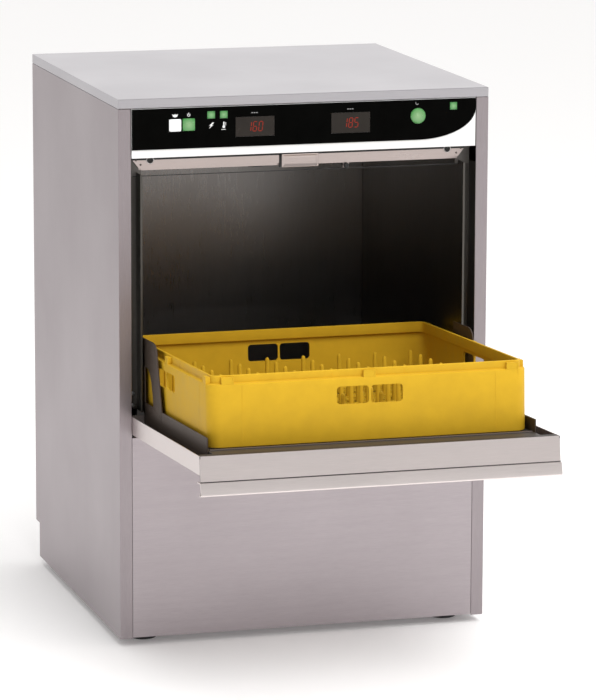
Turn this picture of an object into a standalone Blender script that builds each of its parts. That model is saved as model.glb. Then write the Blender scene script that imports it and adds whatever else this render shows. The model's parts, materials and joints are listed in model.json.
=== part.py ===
"""Undercounter commercial dishwasher with its drop-down door open and a dish rack on it."""
import math

import bmesh
import bpy
from mathutils import Vector

# Driving dimensions, in metres and degrees.
WIDTH = 0.600
DEPTH = 0.600
BODY_HEIGHT = 0.855
FOOT_GAP = 0.012
TOP_EDGE = 0.015
SHEET = 0.0015
FLANGE = 0.020
REAR_FLANGE = 0.015
NOTCH_DEPTH = 0.026
NOTCH_HEIGHT = 0.070
FASCIA_HEIGHT = 0.0923
HEADER_Y = 0.030
HEADER_HEIGHT = 0.020
CHAMBER_WALL = 0.002
CHAMBER_SIDE_SPACE = 0.0385
CHAMBER_REAR_SPACE = 0.053
CEILING_DROP = 0.0092
DOOR_INNER = 0.0222
DOOR_OUTER = 0.0063
DOOR_RETURN = 0.015
HINGE_Y = 0.006
HINGE_Z = 0.346
HINGE_RADIUS = 0.0035
REST_TILT = 3.3
DOOR_TRAVEL = 86.7
HANDLE_FACE = 0.039
HANDLE_LIP = 0.0205
HANDLE_REACH = 0.0062
HANDLE_SLANT = 0.0032
GUIDE_INSET = 0.0062
GUIDE_RAIL = 0.020
BRACKET_HEIGHT = 0.144
RACK_SIZE = 0.500
RACK_HEIGHT = 0.1075
RACK_SETBACK = 0.0574
RACK_TRAVEL = 0.392
RAIL_LIFT = 0.032
TANK_DEPTH = 0.068
SUMP_HALF = 0.120
SUMP_DEPTH = 0.070
ROLLER_RADIUS = 0.0290
BUTTON_DEPTH = 0.0120

# Clearances, in metres.
GAP = 0.0003
RUN = 0.0005
RACK_LIFT = 0.0011
DOOR_SIDE_CLEARANCE = 0.0002
DOOR_TOP_CLEARANCE = 0.0113
ARM_CLEARANCE = 0.0365

# Positions that follow from the dimensions.
HALF = WIDTH / 2
TOP_Z = FOOT_GAP + BODY_HEIGHT
SIDE_TOP = TOP_Z - TOP_EDGE - GAP
OPEN_HALF = HALF - FLANGE
FASCIA_BOTTOM = TOP_Z - FASCIA_HEIGHT
CEILING_Z = FASCIA_BOTTOM - CEILING_DROP
CHAMBER_HALF = HALF - CHAMBER_SIDE_SPACE
CHAMBER_BACK = DEPTH - CHAMBER_REAR_SPACE
DOOR_HALF = OPEN_HALF - DOOR_SIDE_CLEARANCE
DOOR_LENGTH = FASCIA_BOTTOM - HINGE_Z - DOOR_TOP_CLEARANCE
GUIDE_HALF = CHAMBER_HALF - GUIDE_INSET
RACK_OVERHANG = DOOR_LENGTH - RACK_SETBACK
HUB_Y = (HEADER_Y + CHAMBER_BACK) / 2 + 0.0045
ARM_HALF = min(CHAMBER_HALF - 0.003, (CHAMBER_BACK - HEADER_Y) / 2) - ARM_CLEARANCE
TRACK_RADIUS = ROLLER_RADIUS * 180.0 / DOOR_TRAVEL
ROLLER_Y = HINGE_Y + TRACK_RADIUS - ROLLER_RADIUS - GAP
RAIL_TOP = HINGE_Z + RAIL_LIFT
RAIL_FRONT = HINGE_Y + RACK_SIZE - RACK_OVERHANG + 0.014
TANK_FRONT = HEADER_Y + 0.0085
TANK_RIM = HINGE_Z - 0.021
TANK_TOP = HINGE_Z - 0.043
TANK_FLOOR = TANK_TOP - TANK_DEPTH
SUMP_FLOOR = TANK_FLOOR - SUMP_DEPTH
TRAY_TOP = TANK_TOP - 0.006
FLOOR_TOP = FOOT_GAP + 2 * SHEET
NOTCH_Y = DEPTH - NOTCH_DEPTH
TILT_COS = math.cos(math.radians(REST_TILT))
TILT_SIN = math.sin(math.radians(REST_TILT))
HUB = (0.0, HUB_Y, 0.0)
STANDPIPE = (0.075, HUB_Y + 0.072)
PUMP = (0.090 - OPEN_HALF, SUMP_FLOOR - 0.055)
PUMP_Y = HUB_Y + 0.007
BOILER = (OPEN_HALF - 0.080, 0.110)
INLET_X = 0.180
DRAIN_X = -0.060
GLAND_X = 0.085
REAR_PORT_Z = 0.045
BUMPER_X = OPEN_HALF - 0.038
BUMPER_Z = FASCIA_BOTTOM - 0.0077
SWITCH = (0.076, FASCIA_BOTTOM - 0.0277)
LOWER_ARM_Z = HINGE_Z - 0.028
LOWER_RINSE_Z = HINGE_Z - 0.008
UPPER_ARM_Z = CEILING_Z - 0.0445
UPPER_RINSE_Z = CEILING_Z - 0.0235
WASH_ARM = 0.012
RINSE_ARM = 0.007

for old in list(bpy.data.objects):
    bpy.data.objects.remove(old, do_unlink=True)


def material(name, color, metallic, roughness):
    made = bpy.data.materials.get(name) or bpy.data.materials.new(name)
    made.use_nodes = True
    shader = made.node_tree.nodes["Principled BSDF"]
    shader.inputs["Base Color"].default_value = (*color, 1.0)
    shader.inputs["Metallic"].default_value = metallic
    shader.inputs["Roughness"].default_value = roughness
    return made


LOOKS = {
    "steel": ((0.62, 0.60, 0.61), 1.0, 0.32),
    "bright": ((0.74, 0.72, 0.72), 1.0, 0.22),
    "dark_steel": ((0.22, 0.21, 0.20), 1.0, 0.35),
    "black": ((0.01, 0.01, 0.01), 0.0, 0.15),
    "white": ((0.85, 0.85, 0.84), 0.0, 0.35),
    "yellow": ((0.80, 0.55, 0.06), 0.0, 0.38),
    "green": ((0.10, 0.55, 0.16), 0.0, 0.30),
    "smoke": ((0.07, 0.07, 0.07), 0.0, 0.12),
    "rubber": ((0.03, 0.03, 0.03), 0.0, 0.70),
    "polymer": ((0.20, 0.21, 0.22), 0.0, 0.45),
    "brass": ((0.70, 0.52, 0.25), 1.0, 0.30),
}


def outward(builder):
    """Points every face of a closed shape away from its inside."""
    bmesh.ops.recalc_face_normals(builder, faces=builder.faces)
    if builder.calc_volume(signed=True) < 0:
        bmesh.ops.reverse_faces(builder, faces=builder.faces)
    return builder


def finish(mesh_builder, name, look, origin=(0, 0, 0), smooth=False):
    """Turns a bmesh into a named object whose origin sits at the given point."""
    outward(mesh_builder)
    shift = Vector(origin)
    for vertex in mesh_builder.verts:
        vertex.co -= shift
    mesh = bpy.data.meshes.new(name)
    mesh_builder.to_mesh(mesh)
    mesh_builder.free()
    obj = bpy.data.objects.new(name, mesh)
    obj.location = shift
    bpy.context.scene.collection.objects.link(obj)
    mesh.materials.append(material(name, *LOOKS[look]))
    if smooth:
        mesh.shade_smooth()
        mesh.set_sharp_from_angle(angle=math.radians(35))
    return obj


def blocks(solid, empty=()):
    """One closed mesh from axis-aligned boxes (x0, x1, y0, y1, z0, z1), less the empty ones."""
    cuts = []
    for axis in range(3):
        values = set()
        for box in list(solid) + list(empty):
            values.update((round(box[2 * axis], 7), round(box[2 * axis + 1], 7)))
        cuts.append(sorted(values))
    counts = [len(values) - 1 for values in cuts]

    def inside(box, centre):
        return all(box[2 * a] < centre[a] < box[2 * a + 1] for a in range(3))

    filled = set()
    for i in range(counts[0]):
        for j in range(counts[1]):
            for k in range(counts[2]):
                cell = (i, j, k)
                centre = [(cuts[a][cell[a]] + cuts[a][cell[a] + 1]) / 2 for a in range(3)]
                if any(inside(box, centre) for box in solid):
                    if not any(inside(box, centre) for box in empty):
                        filled.add(cell)
    builder = bmesh.new()
    corners = {}

    def corner(i, j, k):
        if (i, j, k) not in corners:
            corners[(i, j, k)] = builder.verts.new((cuts[0][i], cuts[1][j], cuts[2][k]))
        return corners[(i, j, k)]

    for cell in sorted(filled):
        for axis in range(3):
            for side in (0, 1):
                beside = list(cell)
                beside[axis] += 1 if side else -1
                if tuple(beside) in filled:
                    continue
                first, second = [a for a in range(3) if a != axis]
                ring = []
                for du, dv in ((0, 0), (1, 0), (1, 1), (0, 1)):
                    at = list(cell)
                    at[axis] += side
                    at[first] += du
                    at[second] += dv
                    ring.append(corner(*at))
                builder.faces.new(ring)
    bmesh.ops.recalc_face_normals(builder, faces=builder.faces)
    bmesh.ops.dissolve_limit(
        builder, angle_limit=0.001, verts=builder.verts, edges=builder.edges
    )
    return builder


def prism(outline, axis, low, high):
    """Extrudes a closed outline along an axis. The outline's pairs fill the other two axes."""
    builder = bmesh.new()
    rings = []
    for level in (low, high):
        ring = []
        for a, b in outline:
            point = [a, b]
            point.insert(axis, level)
            ring.append(builder.verts.new(point))
        rings.append(ring)
    count = len(outline)
    builder.faces.new(rings[0])
    builder.faces.new(rings[1])
    for i in range(count):
        j = (i + 1) % count
        builder.faces.new((rings[0][i], rings[0][j], rings[1][j], rings[1][i]))
    return builder


def lathe(profile, axis, centre, steps=20):
    """Turns a closed (radius, level) profile about an axis through centre."""
    builder = bmesh.new()
    first, second = [a for a in range(3) if a != axis]
    columns = []
    for step in range(steps):
        angle = 2 * math.pi * step / steps
        column = []
        for radius, level in profile:
            point = list(centre)
            point[axis] += level
            point[first] += radius * math.cos(angle)
            point[second] += radius * math.sin(angle)
            column.append(builder.verts.new(point))
        columns.append(column)
    count = len(profile)
    for step in range(steps):
        left = columns[step]
        right = columns[(step + 1) % steps]
        for i in range(count):
            j = (i + 1) % count
            builder.faces.new((left[i], left[j], right[j], right[i]))
    bmesh.ops.remove_doubles(builder, verts=builder.verts, dist=0.00001)
    return builder


def rod(axis, centre, radius, low, high, steps=16):
    """A solid round bar."""
    outline = []
    first, second = [a for a in range(3) if a != axis]
    for step in range(steps):
        angle = 2 * math.pi * step / steps
        outline.append(
            (
                centre[first] + radius * math.cos(angle),
                centre[second] + radius * math.sin(angle),
            )
        )
    return prism(outline, axis, low, high)


def helper(builder, name):
    """A hidden shape for Boolean modifiers."""
    mesh = bpy.data.meshes.new(name)
    builder.to_mesh(mesh)
    builder.free()
    obj = bpy.data.objects.new(name, mesh)
    obj.hide_render = True
    obj.display_type = "WIRE"
    bpy.context.scene.collection.objects.link(obj)
    return obj


def boolean(obj, builder, operation):
    other = helper(outward(builder), obj.name + "_tool_" + str(len(obj.modifiers)))
    step = obj.modifiers.new(operation.lower(), "BOOLEAN")
    step.operation = operation
    step.solver = "EXACT"
    step.object = other
    return obj


def joined(*builders):
    """Puts several separate shapes in one mesh."""
    whole = bmesh.new()
    for builder in builders:
        outward(builder)
        copy = {}
        for vertex in builder.verts:
            copy[vertex] = whole.verts.new(vertex.co)
        for face in builder.faces:
            whole.faces.new([copy[vertex] for vertex in face.verts])
        builder.free()
    return whole


def mirrored(builder):
    for vertex in builder.verts:
        vertex.co.x = -vertex.co.x
    return builder


def on_door(builder):
    """Takes a shape drawn as (x, distance from hinge, height over hinge) to the open door."""
    for vertex in builder.verts:
        x, u, v = vertex.co
        y = HINGE_Y - u * TILT_COS + v * TILT_SIN
        z = HINGE_Z + u * TILT_SIN + v * TILT_COS
        vertex.co = (x, y, z)
    return builder


def rounded(half_x, half_y, radius, steps=4):
    """The outline of a rounded rectangle about the origin."""
    points = []
    for sx, sy, start in ((1, 1, 0), (-1, 1, 90), (-1, -1, 180), (1, -1, 270)):
        for step in range(steps + 1):
            angle = math.radians(start + 90.0 * step / steps)
            points.append(
                (
                    sx * (half_x - radius) + radius * math.cos(angle),
                    sy * (half_y - radius) + radius * math.sin(angle),
                )
            )
    return points


HINGE = (0.0, HINGE_Y, HINGE_Z)


# Outer casing.


def make_base_tray():
    low = FOOT_GAP + SHEET
    half = HALF - SHEET - RUN
    front = SHEET + 0.001
    back = NOTCH_Y - RUN - 0.001
    tray = blocks(
        [(-half, half, front, back, low, low + 0.012)],
        [(SHEET - half, half - SHEET, front + SHEET, back - SHEET, low + SHEET, TOP_Z)],
    )
    obj = finish(tray, "base_tray", "steel")
    holes = [rod(2, (x, y, 0), 0.0062, 0.0, 0.03, 12) for x, y in foot_places()]
    return boolean(obj, joined(*holes), "DIFFERENCE")


def foot_places():
    return [(x, y) for x in (0.050 - HALF, HALF - 0.050) for y in (0.055, DEPTH - 0.080)]


def make_foot(name, x, y):
    profile = [
        (0.0, 0.0),
        (0.0200, 0.0),
        (0.0215, 0.0020),
        (0.0180, FOOT_GAP + SHEET - GAP),
        (0.0055, FOOT_GAP + SHEET - GAP),
        (0.0055, FLOOR_TOP + GAP),
        (0.0105, FLOOR_TOP + GAP),
        (0.0105, FLOOR_TOP + 0.007),
        (0.0, FLOOR_TOP + 0.007),
    ]
    return finish(lathe(profile, 2, (x, y, 0), 16), name, "rubber", (x, y, 0), True)


def make_side_panel(name, right):
    inner = HALF - SHEET
    panel = blocks(
        [
            (inner, HALF, 0.0, DEPTH, FOOT_GAP, SIDE_TOP),
            (OPEN_HALF, HALF, 0.0, SHEET, FOOT_GAP, SIDE_TOP),
            (HALF - REAR_FLANGE, HALF, DEPTH - SHEET, DEPTH, NOTCH_HEIGHT, SIDE_TOP),
        ],
        [(0.0, WIDTH, NOTCH_Y, 2 * DEPTH, 0.0, NOTCH_HEIGHT)],
    )
    return finish(panel if right else mirrored(panel), name, "steel")


def make_back_panel():
    half = HALF - REAR_FLANGE - RUN
    panel = blocks(
        [
            (-half, half, DEPTH - SHEET, DEPTH, NOTCH_HEIGHT, SIDE_TOP),
            (-half, half, NOTCH_Y, DEPTH, NOTCH_HEIGHT, NOTCH_HEIGHT + SHEET),
            (-half, half, NOTCH_Y, NOTCH_Y + SHEET, FOOT_GAP + SHEET, NOTCH_HEIGHT + SHEET),
        ]
    )
    obj = finish(panel, "back_panel", "steel")
    holes = []
    for x, radius in ((INLET_X, 0.0140), (DRAIN_X, 0.0150), (GLAND_X, 0.0106)):
        holes.append(rod(1, (x, 0, REAR_PORT_Z), radius, NOTCH_Y - 0.01, NOTCH_Y + 0.01, 16))
    return boolean(obj, joined(*holes), "DIFFERENCE")


def make_top_panel():
    panel = blocks(
        [(-HALF, HALF, 0.0, DEPTH, TOP_Z - TOP_EDGE, TOP_Z)],
        [(SHEET - HALF, HALF - SHEET, SHEET, DEPTH - SHEET, 0.0, TOP_Z - SHEET)],
    )
    return finish(panel, "top_panel", "steel")


def make_lower_front_panel():
    top = HINGE_Z - 0.011
    low = FOOT_GAP + SHEET
    half = OPEN_HALF - GAP
    panel = blocks(
        [
            (-half, half, 0.0, SHEET, low, top),
            (-half, half, 0.0, 0.010, top - SHEET, top),
        ]
    )
    return finish(panel, "lower_front_panel", "steel")


# Control fascia.

# Each key, lamp and window: centre x, centre z, half width, half height.
BUTTONS = {
    "button_fill": (0.0701 - OPEN_HALF, TOP_Z - 0.0428, 0.0095, 0.0094),
    "button_power": (0.0918 - OPEN_HALF, TOP_Z - 0.0423, 0.0098, 0.0096),
}
ROUND_BUTTON = (OPEN_HALF - 0.0968, TOP_Z - 0.0415, 0.0123)
LAMPS = {
    "lamp_left": (0.1277 - OPEN_HALF, TOP_Z - 0.0284, 0.0062, 0.0057),
    "lamp_middle": (0.1479 - OPEN_HALF, TOP_Z - 0.0286, 0.0061, 0.0057),
    "lamp_right": (OPEN_HALF - 0.0383, TOP_Z - 0.0277, 0.0058, 0.0059),
}
DISPLAYS = {
    "display_left": (-0.0818, TOP_Z - 0.0487, 0.0312, 0.0153),
    "display_right": (0.0732, TOP_Z - 0.0483, 0.0315, 0.0160),
}
KEY_FRONT = -0.0028
LAMP_FRONT = -0.0014
DISPLAY_FRONT = -0.0008
OVERLAY_BACK = -0.0001
OVERLAY_FRONT = -0.0011


def overlay_outline():
    half = OPEN_HALF - 0.0015
    sweep = 0.0935
    points = [(-half, SIDE_TOP - 0.0008), (-half, FASCIA_BOTTOM + 0.0128)]
    steps = 12
    for step in range(steps + 1):
        angle = math.pi / 2 * step / steps
        points.append(
            (
                half - sweep + sweep * math.sin(angle),
                FASCIA_BOTTOM + 0.0597 - 0.0469 * math.cos(angle),
            )
        )
    points.append((half, SIDE_TOP - 0.0008))
    return points


def panel_holes(table, clearance, low, high):
    shapes = []
    for x, z, half_x, half_z in table.values():
        a = half_x + clearance
        b = half_z + clearance
        shapes.append(blocks([(x - a, x + a, low, high, z - b, z + b)]))
    return shapes


def make_fascia_panel():
    front = 0.0002
    half = OPEN_HALF - 0.0012
    panel = blocks(
        [
            (-half, half, front, 0.0030, FASCIA_BOTTOM, SIDE_TOP - 0.0005),
            (-half, half, front, HEADER_Y - 0.002, FASCIA_BOTTOM, FASCIA_BOTTOM + SHEET),
        ]
    )
    obj = finish(panel, "fascia_panel", "white")
    x, z, radius = ROUND_BUTTON
    shapes = panel_holes(BUTTONS, GAP, -0.01, 0.01)
    shapes.append(rod(1, (x, 0, z), radius + GAP, -0.01, 0.01, 24))
    return boolean(obj, joined(*shapes), "DIFFERENCE")


def make_fascia_overlay():
    sheet = prism(overlay_outline(), 1, OVERLAY_FRONT, OVERLAY_BACK)
    obj = finish(sheet, "fascia_overlay", "black")
    x, z, radius = ROUND_BUTTON
    shapes = panel_holes(BUTTONS, GAP, -0.01, 0.01)
    shapes += panel_holes(LAMPS, 0.0002, -0.01, 0.01)
    shapes += panel_holes(DISPLAYS, 0.0002, -0.01, 0.01)
    shapes.append(rod(1, (x, 0, z), radius + GAP, -0.01, 0.01, 24))
    return boolean(obj, joined(*shapes), "DIFFERENCE")


def make_button(name, x, z, half_x, half_z):
    outline = [(x + a, z + b) for a, b in rounded(half_x, half_z, 0.0022, 2)]
    cap = prism(outline, 1, KEY_FRONT, BUTTON_DEPTH)
    obj = finish(cap, name, "white" if name == "button_fill" else "green", (x, 0, z))
    return obj


def make_round_button():
    x, z, radius = ROUND_BUTTON
    profile = [
        (0.0, KEY_FRONT - 0.0002),
        (radius - 0.0016, KEY_FRONT),
        (radius, KEY_FRONT + 0.0012),
        (radius, BUTTON_DEPTH),
        (0.0, BUTTON_DEPTH),
    ]
    return finish(lathe(profile, 1, (x, 0, z), 24), "button_start", "green", (x, 0, z), True)


def make_lamp(name, x, z, half_x, half_z):
    box = (x - half_x, x + half_x, LAMP_FRONT, OVERLAY_BACK, z - half_z, z + half_z)
    return finish(blocks([box]), name, "green")


def make_display(name, x, z, half_x, half_z):
    box = (x - half_x, x + half_x, DISPLAY_FRONT, OVERLAY_BACK, z - half_z, z + half_z)
    return finish(blocks([box]), name, "smoke")


def make_control_box():
    left = 0.045 - OPEN_HALF
    right = -0.030
    low = FASCIA_BOTTOM + 0.0103
    box = blocks(
        [(left, right, 0.070, 0.200, low, TOP_Z - 0.019)],
        [(left + SHEET, right - SHEET, 0.070 + SHEET, 0.200 - SHEET, low + SHEET, TOP_Z)],
    )
    return finish(box, "control_box", "polymer")


# Front frame and wash chamber.


def make_front_header():
    low = FASCIA_BOTTOM - HEADER_HEIGHT
    top = FASCIA_BOTTOM + 0.0203
    half = OPEN_HALF - 0.010
    y = HEADER_Y
    side = low + 0.0125
    outline = [
        (y, top),
        (y, side),
        (y, low),
        (y + 0.003, low),
        (y + 0.003, low - 0.0037),
        (y + 0.0045, low - 0.0037),
        (y + 0.0045, low + SHEET),
        (y + SHEET, low + SHEET),
        (y + SHEET, side),
        (y + SHEET, top),
    ]
    obj = finish(prism(outline, 0, -half, half), "front_header", "bright")
    x, z = SWITCH
    tab = blocks([(x - 0.0048, x + 0.0048, y + 0.0031, y + 0.0044, z - 0.0050, low - 0.0017)])
    boolean(obj, tab, "UNION")
    corners = []
    for sign in (-1, 1):
        edge = [
            (sign * half, side),
            (sign * (half - 0.010), low),
            (sign * (half - 0.010), low - 0.010),
            (sign * (half + 0.010), low - 0.010),
            (sign * (half + 0.010), side),
        ]
        corners.append(prism(edge, 1, 0.0, 2 * y))
    boolean(obj, joined(*corners), "DIFFERENCE")
    holes = [rod(1, (x, 0, z), 0.0034, 0.0, 2 * y, 12)]
    for bumper_x in (-BUMPER_X, BUMPER_X):
        holes.append(rod(1, (bumper_x, 0, BUMPER_Z), 0.0036, 0.0, 2 * y, 12))
    return boolean(obj, joined(*holes), "DIFFERENCE")


def make_bumper(name, x):
    y = HEADER_Y
    profile = [
        (0.0, y - 0.0013),
        (0.0050, y - 0.0013),
        (0.0063, y - GAP),
        (0.0033, y - GAP),
        (0.0033, y + 0.004),
        (0.0, y + 0.004),
    ]
    at = (x, 0, BUMPER_Z)
    return finish(lathe(profile, 1, at, 16), name, "rubber", at, True)


def make_door_catch():
    y = HEADER_Y
    low = FASCIA_BOTTOM - 0.0272
    outline = [
        (y - 0.0013, low),
        (y - 0.0013, low + 0.0165),
        (y - 0.0005, low + 0.0210),
        (y - GAP, low + 0.0212),
        (y - GAP, low),
    ]
    return finish(prism(outline, 0, -0.030, 0.030), "door_catch", "bright")


def make_door_switch():
    front = HEADER_Y - 0.0013
    profile = [
        (0.0, 0.0),
        (0.0037, 0.0),
        (0.0042, 0.0005),
        (0.0042, 0.0026),
        (0.0030, 0.0026),
        (0.0030, 0.0183),
        (0.0, 0.0183),
    ]
    at = (SWITCH[0], front, SWITCH[1])
    return finish(lathe(profile, 1, at, 12), "door_switch", "rubber", at, True)


def make_chamber_wall(name, right):
    inner = CHAMBER_HALF
    outer = inner + CHAMBER_WALL
    lip_low = HINGE_Z + 0.028
    lip_high = HINGE_Z + DOOR_LENGTH - DOOR_RETURN - RUN
    lip_front = 0.005
    turn = TANK_FRONT + SHEET + GAP
    floor = HEADER_Y + 0.004
    side = OPEN_HALF + GAP
    wall = blocks(
        [
            (inner, outer, turn, CHAMBER_BACK - 0.0018, TANK_TOP + RUN, CEILING_Z - GAP),
            (inner, outer, lip_front, turn, lip_low, lip_high),
            (inner - 0.0008, outer + 0.0007, lip_front, lip_front + 0.0025, lip_low, lip_high),
            (inner, side + SHEET, floor, floor + SHEET, lip_low, lip_high),
            (side, side + SHEET, 2 * SHEET, floor + SHEET, lip_low, lip_high),
        ]
    )
    return finish(wall if right else mirrored(wall), name, "dark_steel")


def make_chamber_wall_back():
    half = CHAMBER_HALF + CHAMBER_WALL
    back = CHAMBER_BACK + CHAMBER_WALL
    wall = blocks([(-half, half, CHAMBER_BACK, back, TANK_TOP + RUN, CEILING_Z - GAP)])
    return finish(wall, "chamber_wall_back", "steel")


def make_chamber_ceiling():
    half = CHAMBER_HALF + CHAMBER_WALL
    back = CHAMBER_BACK + CHAMBER_WALL
    plate = blocks([(-half, half, HEADER_Y + 0.006, back, CEILING_Z, CEILING_Z + SHEET)])
    obj = finish(plate, "chamber_ceiling", "steel")
    hole = rod(2, HUB, 0.0125, CEILING_Z - 0.05, CEILING_Z + 0.05, 20)
    return boolean(obj, hole, "DIFFERENCE")


def make_wash_tank():
    half = CHAMBER_HALF + 0.0018
    front = TANK_FRONT
    back = CHAMBER_BACK + 0.0015
    sump_front = HUB_Y - 0.123
    sump_back = HUB_Y + 0.127
    inner = SUMP_HALF - SHEET
    floor = TANK_FLOOR
    tank = blocks(
        [
            (-half, half, front, back, floor, TANK_TOP),
            (-half, half, front, front + SHEET, floor, TANK_RIM),
            (-half, half, HEADER_Y, front + SHEET, TANK_RIM - SHEET, TANK_RIM),
            (-SUMP_HALF, SUMP_HALF, sump_front, sump_back, SUMP_FLOOR, floor + 0.005),
        ],
        [
            (SHEET - half, half - SHEET, front + SHEET, back - SHEET, floor + SHEET, TOP_Z),
            (-inner, inner, sump_front + SHEET, sump_back - SHEET, SUMP_FLOOR + SHEET, floor + 0.01),
        ],
    )
    obj = finish(tank, "wash_tank", "steel")
    hole = rod(2, HUB, 0.0125, SUMP_FLOOR - 0.05, SUMP_FLOOR + 0.05, 20)
    return boolean(obj, hole, "DIFFERENCE")


def make_rack_rail(name, right):
    inner = RACK_SIZE / 2 - 0.016
    outer = CHAMBER_HALF - GAP
    top = RAIL_TOP
    front = RAIL_FRONT
    back = CHAMBER_BACK - 0.007
    ledge = [
        (front, top - 0.0200),
        (front + 0.038, top),
        (back, top),
        (back, top - 0.002),
        (front + 0.039, top - 0.002),
        (front + 0.001, top - 0.022),
    ]
    rail = prism(ledge, 0, inner, outer)
    obj = finish(rail if right else mirrored(rail), name, "steel")
    leg = blocks([(outer - 0.002, outer, front + 0.050, back, top - 0.026, top - 0.001)])
    lip = blocks([(inner, inner + 0.002, front + 0.050, back, top - 0.012, top - 0.001)])
    boolean(obj, leg if right else mirrored(leg), "UNION")
    return boolean(obj, lip if right else mirrored(lip), "UNION")


def make_filter_tray():
    half = CHAMBER_HALF - 0.0010
    front = HEADER_Y + 0.011
    back = CHAMBER_BACK - 0.001
    low = TANK_FLOOR + SHEET + GAP
    top = TRAY_TOP
    boxes = [(-half, half, front, back, top - SHEET, top)]
    for x in (-half, half - SHEET):
        for y in (front + 0.019, back - 0.076):
            boxes.append((x, x + SHEET, y, y + 0.060, low, top))
    obj = finish(blocks(boxes), "filter_tray", "bright")
    holes = [
        rod(2, HUB, 0.0125, top - 0.05, top + 0.05, 20),
        rod(2, (*STANDPIPE, 0), 0.0150, top - 0.05, top + 0.05, 16),
    ]
    return boolean(obj, joined(*holes), "DIFFERENCE")


def make_overflow_standpipe():
    low = SUMP_FLOOR + SHEET + GAP
    profile = [
        (0.0100, 0.0),
        (0.0145, 0.0),
        (0.0145, 0.0052),
        (0.0130, 0.0072),
        (0.0130, TRAY_TOP + 0.009 - low),
        (0.0100, TRAY_TOP + 0.009 - low),
    ]
    at = (*STANDPIPE, low)
    return finish(lathe(profile, 2, at, 16), "overflow_standpipe", "polymer", at, True)


def tube(path, radius, sides=8):
    """A closed round bar that follows a line of points."""
    builder = bmesh.new()
    rings = []
    last_normal = None
    for i, point in enumerate(path):
        here = Vector(point)
        ahead = Vector(path[min(i + 1, len(path) - 1)])
        behind = Vector(path[max(i - 1, 0)])
        along = (ahead - behind).normalized()
        if last_normal is None:
            trial = Vector((0, 0, 1)) if abs(along.z) < 0.9 else Vector((1, 0, 0))
            normal = along.cross(trial).normalized()
        else:
            normal = (last_normal - along * last_normal.dot(along)).normalized()
        last_normal = normal
        side = along.cross(normal)
        ring = []
        for step in range(sides):
            angle = 2 * math.pi * step / sides
            offset = normal * math.cos(angle) + side * math.sin(angle)
            ring.append(builder.verts.new(here + offset * radius))
        rings.append(ring)
    builder.faces.new(rings[0])
    builder.faces.new(rings[-1])
    for first, second in zip(rings, rings[1:]):
        for i in range(sides):
            j = (i + 1) % sides
            builder.faces.new((first[i], first[j], second[j], second[i]))
    return builder


def make_tank_heater():
    y = HUB_Y - 0.071
    z = SUMP_FLOOR + 0.030
    bend = 0.022
    left = -0.070
    right = SUMP_HALF - 0.005
    path = [(right, y - bend, z)]
    steps = 6
    for step in range(steps + 1):
        angle = math.pi * step / steps
        path.append((left - bend * math.sin(angle), y - bend * math.cos(angle), z))
    path.append((right, y + bend, z))
    obj = finish(tube(path, 0.0045), "tank_heater", "dark_steel", smooth=True)
    edge = SUMP_HALF - SHEET - RUN
    flange = blocks([(edge - 0.005, edge, y - 0.034, y + 0.034, z - 0.015, z + 0.015)])
    return boolean(obj, flange, "UNION")


# Pumps, boiler and water connections.

def make_pump_volute():
    x, z = PUMP
    profile = [
        (0.0150, 0.0480),
        (0.0580, 0.0480),
        (0.0580, 0.0),
        (0.0470, 0.0),
        (0.0470, 0.0440),
        (0.0150, 0.0440),
    ]
    at = (x, PUMP_Y, z)
    return finish(lathe(profile, 1, at, 24), "pump_volute", "polymer", at, True)


def make_suction_pipe():
    x, z = PUMP
    z -= 0.002
    sump_x = 0.020 - SUMP_HALF
    y = PUMP_Y + 0.088
    path = [(x, PUMP_Y + 0.0485, z), (x, y - 0.013, z)]
    path += [(x + 0.012, y, z), (sump_x - 0.012, y, z)]
    path += [(sump_x, y, z + 0.012), (sump_x, y, SUMP_FLOOR - RUN)]
    return finish(tube(path, 0.0130, 12), "suction_pipe", "rubber", smooth=True)


def make_pump_motor():
    x, z = PUMP
    profile = [
        (0.0060, -0.1500),
        (0.0500, -0.1500),
        (0.0520, -0.1440),
        (0.0520, -0.0180),
        (0.0580, -0.0180),
        (0.0580, -RUN),
        (0.0060, -RUN),
    ]
    at = (x, PUMP_Y, z)
    obj = finish(lathe(profile, 1, at, 24), "pump_motor", "dark_steel", at, True)
    foot = (x - 0.035, x + 0.035, PUMP_Y - 0.120, PUMP_Y - 0.040, FLOOR_TOP + RUN, z - 0.025)
    return boolean(obj, blocks([foot]), "UNION")


def make_pump_impeller():
    x, z = PUMP
    y = PUMP_Y
    outline = []
    vanes = 6
    for vane in range(vanes):
        for radius, turn in ((0.013, 0), (0.040, 12), (0.042, 20), (0.016, 26)):
            angle = math.radians(360.0 / vanes * vane + turn)
            outline.append((x + radius * math.cos(angle), z + radius * math.sin(angle)))
    wheel = prism(outline, 1, y + 0.0130, y + 0.0370)
    obj = finish(wheel, "pump_impeller", "polymer", (x, y + 0.025, z))
    shaft = rod(1, (x, 0, z), 0.0050, y - 0.1480, y + 0.0400, 12)
    plate = rod(1, (x, 0, z), 0.0430, y + 0.0090, y + 0.0135, 24)
    boolean(obj, shaft, "UNION")
    return boolean(obj, plate, "UNION")


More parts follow.
